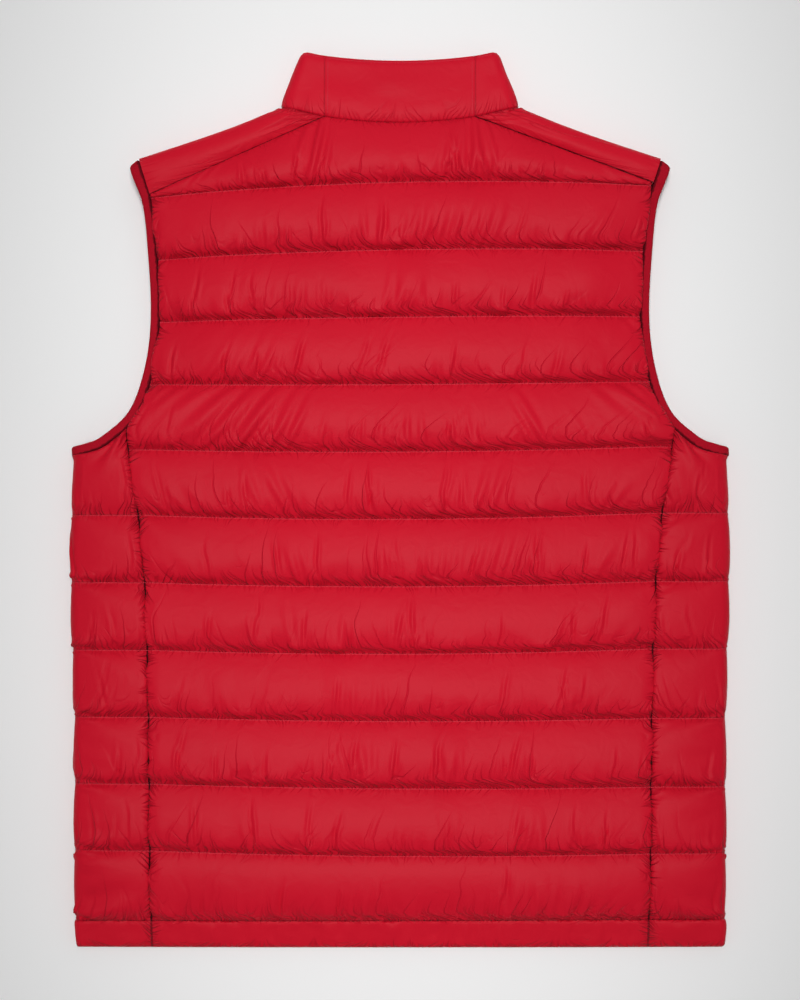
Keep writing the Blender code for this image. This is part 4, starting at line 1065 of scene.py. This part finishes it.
# %% Collar sides
def make_collar_side(word, side):
    rng = np.random.default_rng(61 + side)
    steps = (14, 14, 58)
    neck_front = [(x, float(front_neck_y(x)) + SEAM_GAP) for x in np.linspace(FRONT_YOKE_X, FRONT_EDGE_X, 30)]
    start = neck_path(SEAM_GAP / 2, (1, 2), steps, neck_front)
    top_edge = (COLLAR_TOP_HALF_WIDTH - 3.8, COLLAR_CORNER_Y)
    back = [(x, float(collar_top_y(x, COLLAR_DIPS[0]))) for x in (COLLAR_SEAM_X + SEAM_GAP, 67.0)]
    front = [(x, float(collar_top_y(x, COLLAR_DIPS[1]))) for x in np.linspace(72.0, FRONT_EDGE_X, 30)]
    middle, normals = loft(start, round_fold(back, top_edge, front, steps), np.linspace(0, 1, 49))
    middle, normals = mirrored(middle, side), mirrored(normals, side)
    far = distance_along(middle)
    beside = np.minimum(far, far[:, -1:] - far)
    half = collar_half(middle, 0.9 + 0.1 * folded_edge(beside, 3.0))
    columns = middle.shape[1]
    wave = collar_dimple(middle) + gathers(rng, 49, columns, 4, 0.5, 0.1) - seam_dimple(beside)
    wave = wave + 0.7 * uneven(rng, 49, columns, 16, 12) * np.sin(np.pi * np.linspace(0, 1, 49))[:, None]
    strip(f"collar_cloth_{word}", f"collar_side_{word}", middle, normals, half, wave, collar_cloth)
    skin = middle + normals * (half + wave)[..., None]
    stitch_rows(f"collar_stitches_{word}", [(skin[-3, 2:-2], normals[-3, 2:-2])])


make_collar_back()
for word, side in SIDES:
    make_collar_side(word, side)


# %% [markdown]
# ## Hem band
#
# The hem is one band of the same cloth, folded double over elastic and cut where the panels are seamed. It could
# be lofted as one tube, but each stretch needs its own flat size, so five strips are made: one behind, one round
# each side fold and one on each front. The elastic draws it in, so it is gathered along its seam.

# %% Hem band
HEM_FOLD_X = 273 - 1.2  # the middle of the band where it turns


def hem_rows(x):
    """Points from the folded bottom edge up to the hem seam, at each x."""
    share = np.linspace(0, 1, 17)[:, None]
    top = quilt_y(0, x) - SEAM_GAP / 2
    return HEM_EDGE_Y + (top - HEM_EDGE_Y) * share


def hem_strip(name, node, seed, middle, normals):
    rng = np.random.default_rng(seed)
    rows, columns = middle.shape[:2]
    share = np.linspace(0, 1, rows)[:, None]
    half = 0.25 + 1.0 * folded_edge(share, 0.12) + 1.1 * folded_edge(share, 0.3) * folded_edge(1 - share, 0.3)
    wave = 1.0 * uneven(rng, rows, columns, 12, 7) + 0.6 * uneven(rng, rows, columns, 9, 3.5)
    wave = wave * folded_edge(share, 0.2) * folded_edge(1 - share, 0.3)
    wave = wave + gathers(rng, rows, columns, 2.2, 0.15, 0.55)
    half = np.broadcast_to(half, middle.shape[:2])
    piece = strip(name, node, middle, normals, half, wave, hem_cloth)


# %% The five strips
def make_hem():
    edge = float(panel_edge_x(HEM_SEAM_Y))
    x = np.linspace(-edge, edge, 261)[None]
    y = hem_rows(x)
    back = np.stack([np.broadcast_to(x, y.shape), y, back_height(x, y)], -1)
    hem_strip("hem_cloth_back", "hem_band_back", 71, back, np.broadcast_to([0.0, 0, 1], back.shape))
    for word, side in SIDES:
        x = side * np.linspace(FRONT_EDGE_X, edge, 101)[None]
        y = hem_rows(x)
        front = np.stack([np.broadcast_to(x, y.shape), y, front_height(y)], -1)
        hem_strip(f"hem_cloth_front_{word}", f"hem_band_front_{word}", 73 + side, front,
                  np.broadcast_to([0.0, 0, -1], front.shape))
        ends = []
        for share in (0.0, 1.0):
            y = float(hem_rows(np.array([[side * HALF_BACK]]))[-1, 0]) if share else HEM_EDGE_Y
            seam = float(side_seam_x(HEM_SEAM_Y))
            ends.append(round_fold([(seam, y)], (HEM_FOLD_X, y), [(seam, y)], (30, 8, 30)))
        middle, normals = loft(ends[0], ends[1], np.linspace(0, 1, 17))
        hem_strip(f"hem_cloth_side_{word}", f"hem_band_side_{word}", 77 + side, mirrored(middle, side),
                  mirrored(normals, side))


make_hem()


# %% [markdown]
# ## Armhole bindings
#
# Each armhole is bound with a narrow tape, folded over the raw edges of both skins. It runs in a ring: under the
# side fold, up the back of the armhole, over the shoulder and down the front. A curve with a round profile would
# make a cord of it, so it is a flat strip between the armhole's two edges, a little swollen in its middle.

# %% Armhole bindings
BINDING_IN = 2.0  # how far the middle of the tape stays inside the folds


def binding_ring():
    """Inner edge, outer edge and normal of the strip, from under the side fold, over it, up the armhole, over
    the shoulder and back below."""
    top, bottom = float(back_height(CHEST_HALF_WIDTH, OUTER_EDGE[0, 1])), float(front_height(OUTER_EDGE[0, 1]))
    radius, last = (top - bottom) / 2, len(OUTER_EDGE) - 1
    out = (SHOULDER_TIP - yoke_corner(1)) / np.linalg.norm(SHOULDER_TIP - yoke_corner(1))
    ring = []
    for angle in np.linspace(-math.pi / 2, math.pi / 2, 11):
        across, lift = math.cos(angle), math.sin(angle)
        x, z = CHEST_HALF_WIDTH - BINDING_IN - radius + radius * across, (top + bottom) / 2 + radius * lift
        ring.append([(x, armhole_y(x, edge), z) for edge in (INNER_EDGE, OUTER_EDGE)] + [(across, 0, lift)])
    along = np.linspace(0.1, 0.88, 70)

    def on_arc(share, front):
        ends = [[np.interp(share * last, np.arange(last + 1), edge[:, i]) for i in (0, 1)]
                for edge in (INNER_EDGE, OUTER_EDGE)]
        placed = [(*end, float(front_height(end[1]) if front else back_height(*end))) for end in ends]
        return placed + [(0, 0, -1 if front else 1)]

    ring += [on_arc(share, False) for share in along]
    for angle in np.linspace(math.pi / 2, -math.pi / 2, 11):
        across, lift = math.cos(angle), math.sin(angle)
        ends = []
        for tip in (INNER_EDGE[-1], OUTER_EDGE[-1]):
            high, low = float(back_height(*tip)), float(front_height(tip[1]))
            turn = (high - low) / 2
            ends.append((*(tip - out * (BINDING_IN + turn * (1 - across))), (high + low) / 2 + turn * lift))
        ring.append(ends + [(*(out * across), lift)])
    ring += [on_arc(share, True) for share in along[::-1]]
    ring = np.array(ring, float)
    far = np.concatenate([[0], np.cumsum(np.linalg.norm(np.diff(ring[:, 1], axis=0), axis=1))])
    wanted = np.linspace(0, far[-1], 321)
    ring = np.stack([[np.interp(wanted, far, ring[:, i, j]) for j in range(3)] for i in range(3)])
    return ring.transpose(2, 0, 1), far[-1]


# %% A binding on each armhole
def make_binding(word, side):
    rng = np.random.default_rng(81 + side)
    ring, length = binding_ring()
    share = np.linspace(0, 1, 9)[:, None, None]
    middle = ring[None, :, 0] * (1 - share) + ring[None, :, 1] * share
    normals = np.broadcast_to(ring[None, :, 2], middle.shape)
    normals = normals / np.linalg.norm(normals, axis=-1, keepdims=True)
    middle, normals = mirrored(middle, side), mirrored(normals, side)
    across = np.linspace(0, 1, 9)[:, None]
    half = np.broadcast_to(0.3 + 1.4 * folded_edge(across, 0.3) * folded_edge(1 - across, 0.35), middle.shape[:2])
    wave = 0.35 * uneven(rng, 9, 321, 8, 3) + 0.35 * uneven(rng, 9, 321, 8, 9)
    piece = strip(f"binding_cloth_{word}", f"armhole_binding_{word}", middle, normals, half, wave * (half - 0.3),
                  binding_cloth)


for word, side in SIDES:
    make_binding(word, side)

# %% [markdown]
# ## Zip
#
# The zip is hidden underneath, closed. Its tapes and castings keep the shape they have in the CAD model and only
# get their finish. The chain there is one plain bar, so it is replaced by two rows of coils that mesh: each coil
# is a bar that reaches just past the middle, and the rows are half a step apart.

# %% Zip
CHAIN_LOW_Y, CHAIN_HIGH_Y = -363.7, 339.0
COIL_PITCH = 1.6
COIL = (3.9, 0.75, 2.2)  # across the zip, along it, and up
CHAIN_HALF_WIDTH = 3.2
TIP_SHARE = 0.8  # how high a coil is at its inner end, where it meshes


def make_chain():
    bm = bmesh.new()
    ys = np.arange(CHAIN_LOW_Y + 0.5, CHAIN_HIGH_Y - 0.5, COIL_PITCH)
    for side in (-1, 1):
        for y in ys + (0 if side < 0 else COIL_PITCH / 2):
            place = Vector((side * (CHAIN_HALF_WIDTH - COIL[0] / 2), y, float(front_height(y)))) * MM
            made = bmesh.ops.create_cube(bm, size=MM, matrix=Matrix.Translation(place) @ Matrix.Diagonal((*COIL, 1.0)))
            for vert in made["verts"]:
                if vert.co.x * side > 0.002:
                    vert.co.z = place.z + TIP_SHARE * (vert.co.z - place.z)
    mesh = bpy.data.meshes.new("zip_coils")
    bm.to_mesh(mesh)
    bm.free()
    show("zip_coils", mesh, "zip_chain", coil_plastic)


make_chain()
for node, surface in (("zip_tape_left", tape_cloth), ("zip_tape_right", tape_cloth), ("zip_retainer", enamel),
                      ("zip_slider", enamel), ("zip_pull_tab", enamel)):
    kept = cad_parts[node]
    kept.material_slots[0].material = surface
    print(f"{node} keeps its shape, in {surface.name}")

# %% [markdown]
# ## Floor, light and camera
#
# The photograph looks straight down on the vest, with soft light from above and a little from the collar's
# side, on a plain white ground. A sun lamp would make hard shadows in the folds, so the lights are large
# rectangles. The one above is narrow, because the sides of the vest get darker towards their folds.

# %% Floor and light
PIXEL = 0.84 * MM  # what one pixel of the photograph covers on the vest
IMAGE_HEIGHT = 1000


def make_stage():
    bm = bmesh.new()
    bmesh.ops.create_grid(bm, x_segments=1, y_segments=1, size=6.0)
    mesh = bpy.data.meshes.new("floor")
    bm.to_mesh(mesh)
    bm.free()
    floor = bpy.data.objects.new("floor", mesh)
    floor.location.z = -0.0005
    mesh.materials.append(new_material("matt_white_floor", "#F4F4F4", 0.9)[0])
    bpy.context.scene.collection.objects.link(floor)


def add_light(name, place, size, power, spread=180):
    lamp = bpy.data.lights.new(name, "AREA")
    lamp.shape = "RECTANGLE"
    lamp.size, lamp.size_y = size
    lamp.energy = power
    lamp.spread = math.radians(spread)
    made = bpy.data.objects.new(name, lamp)
    made.location = place
    made.rotation_mode = "QUATERNION"
    made.rotation_quaternion = (-made.location).to_track_quat("-Z", "Y")
    bpy.context.scene.collection.objects.link(made)


make_stage()
add_light("overhead_softbox", (0.0, 0.25, 2.6), (0.5, 1.6), 3.75, spread=35)
add_light("from_collar_side", (0.5, 2.3, 1.5), (1.6, 1.2), 2.7)
world = bpy.data.worlds.new("studio")
world.use_nodes = True
world.node_tree.nodes["Background"].inputs["Color"].default_value = (1.0, 1.0, 1.0, 1.0)
world.node_tree.nodes["Background"].inputs["Strength"].default_value = 0.23
bpy.context.scene.world = world
bpy.context.scene.view_settings.view_transform = "Standard"

# %% Camera
# It hangs as high as its lens needs for the photograph's frame, above the middle of the upper surface.
MIDDLE_HEIGHT = 0.012
camera_data = bpy.data.cameras.new("overhead_camera")
camera_data.type = "PERSP"
camera_data.lens = 85
camera_data.sensor_width = 36
camera = bpy.data.objects.new("overhead_camera", camera_data)
camera.location = (0.0, 0.0, MIDDLE_HEIGHT + IMAGE_HEIGHT * PIXEL * camera_data.lens / camera_data.sensor_width)
bpy.context.scene.collection.objects.link(camera)
bpy.context.scene.camera = camera
print(f"the camera is {camera.location.z:.3f} m above the floor")
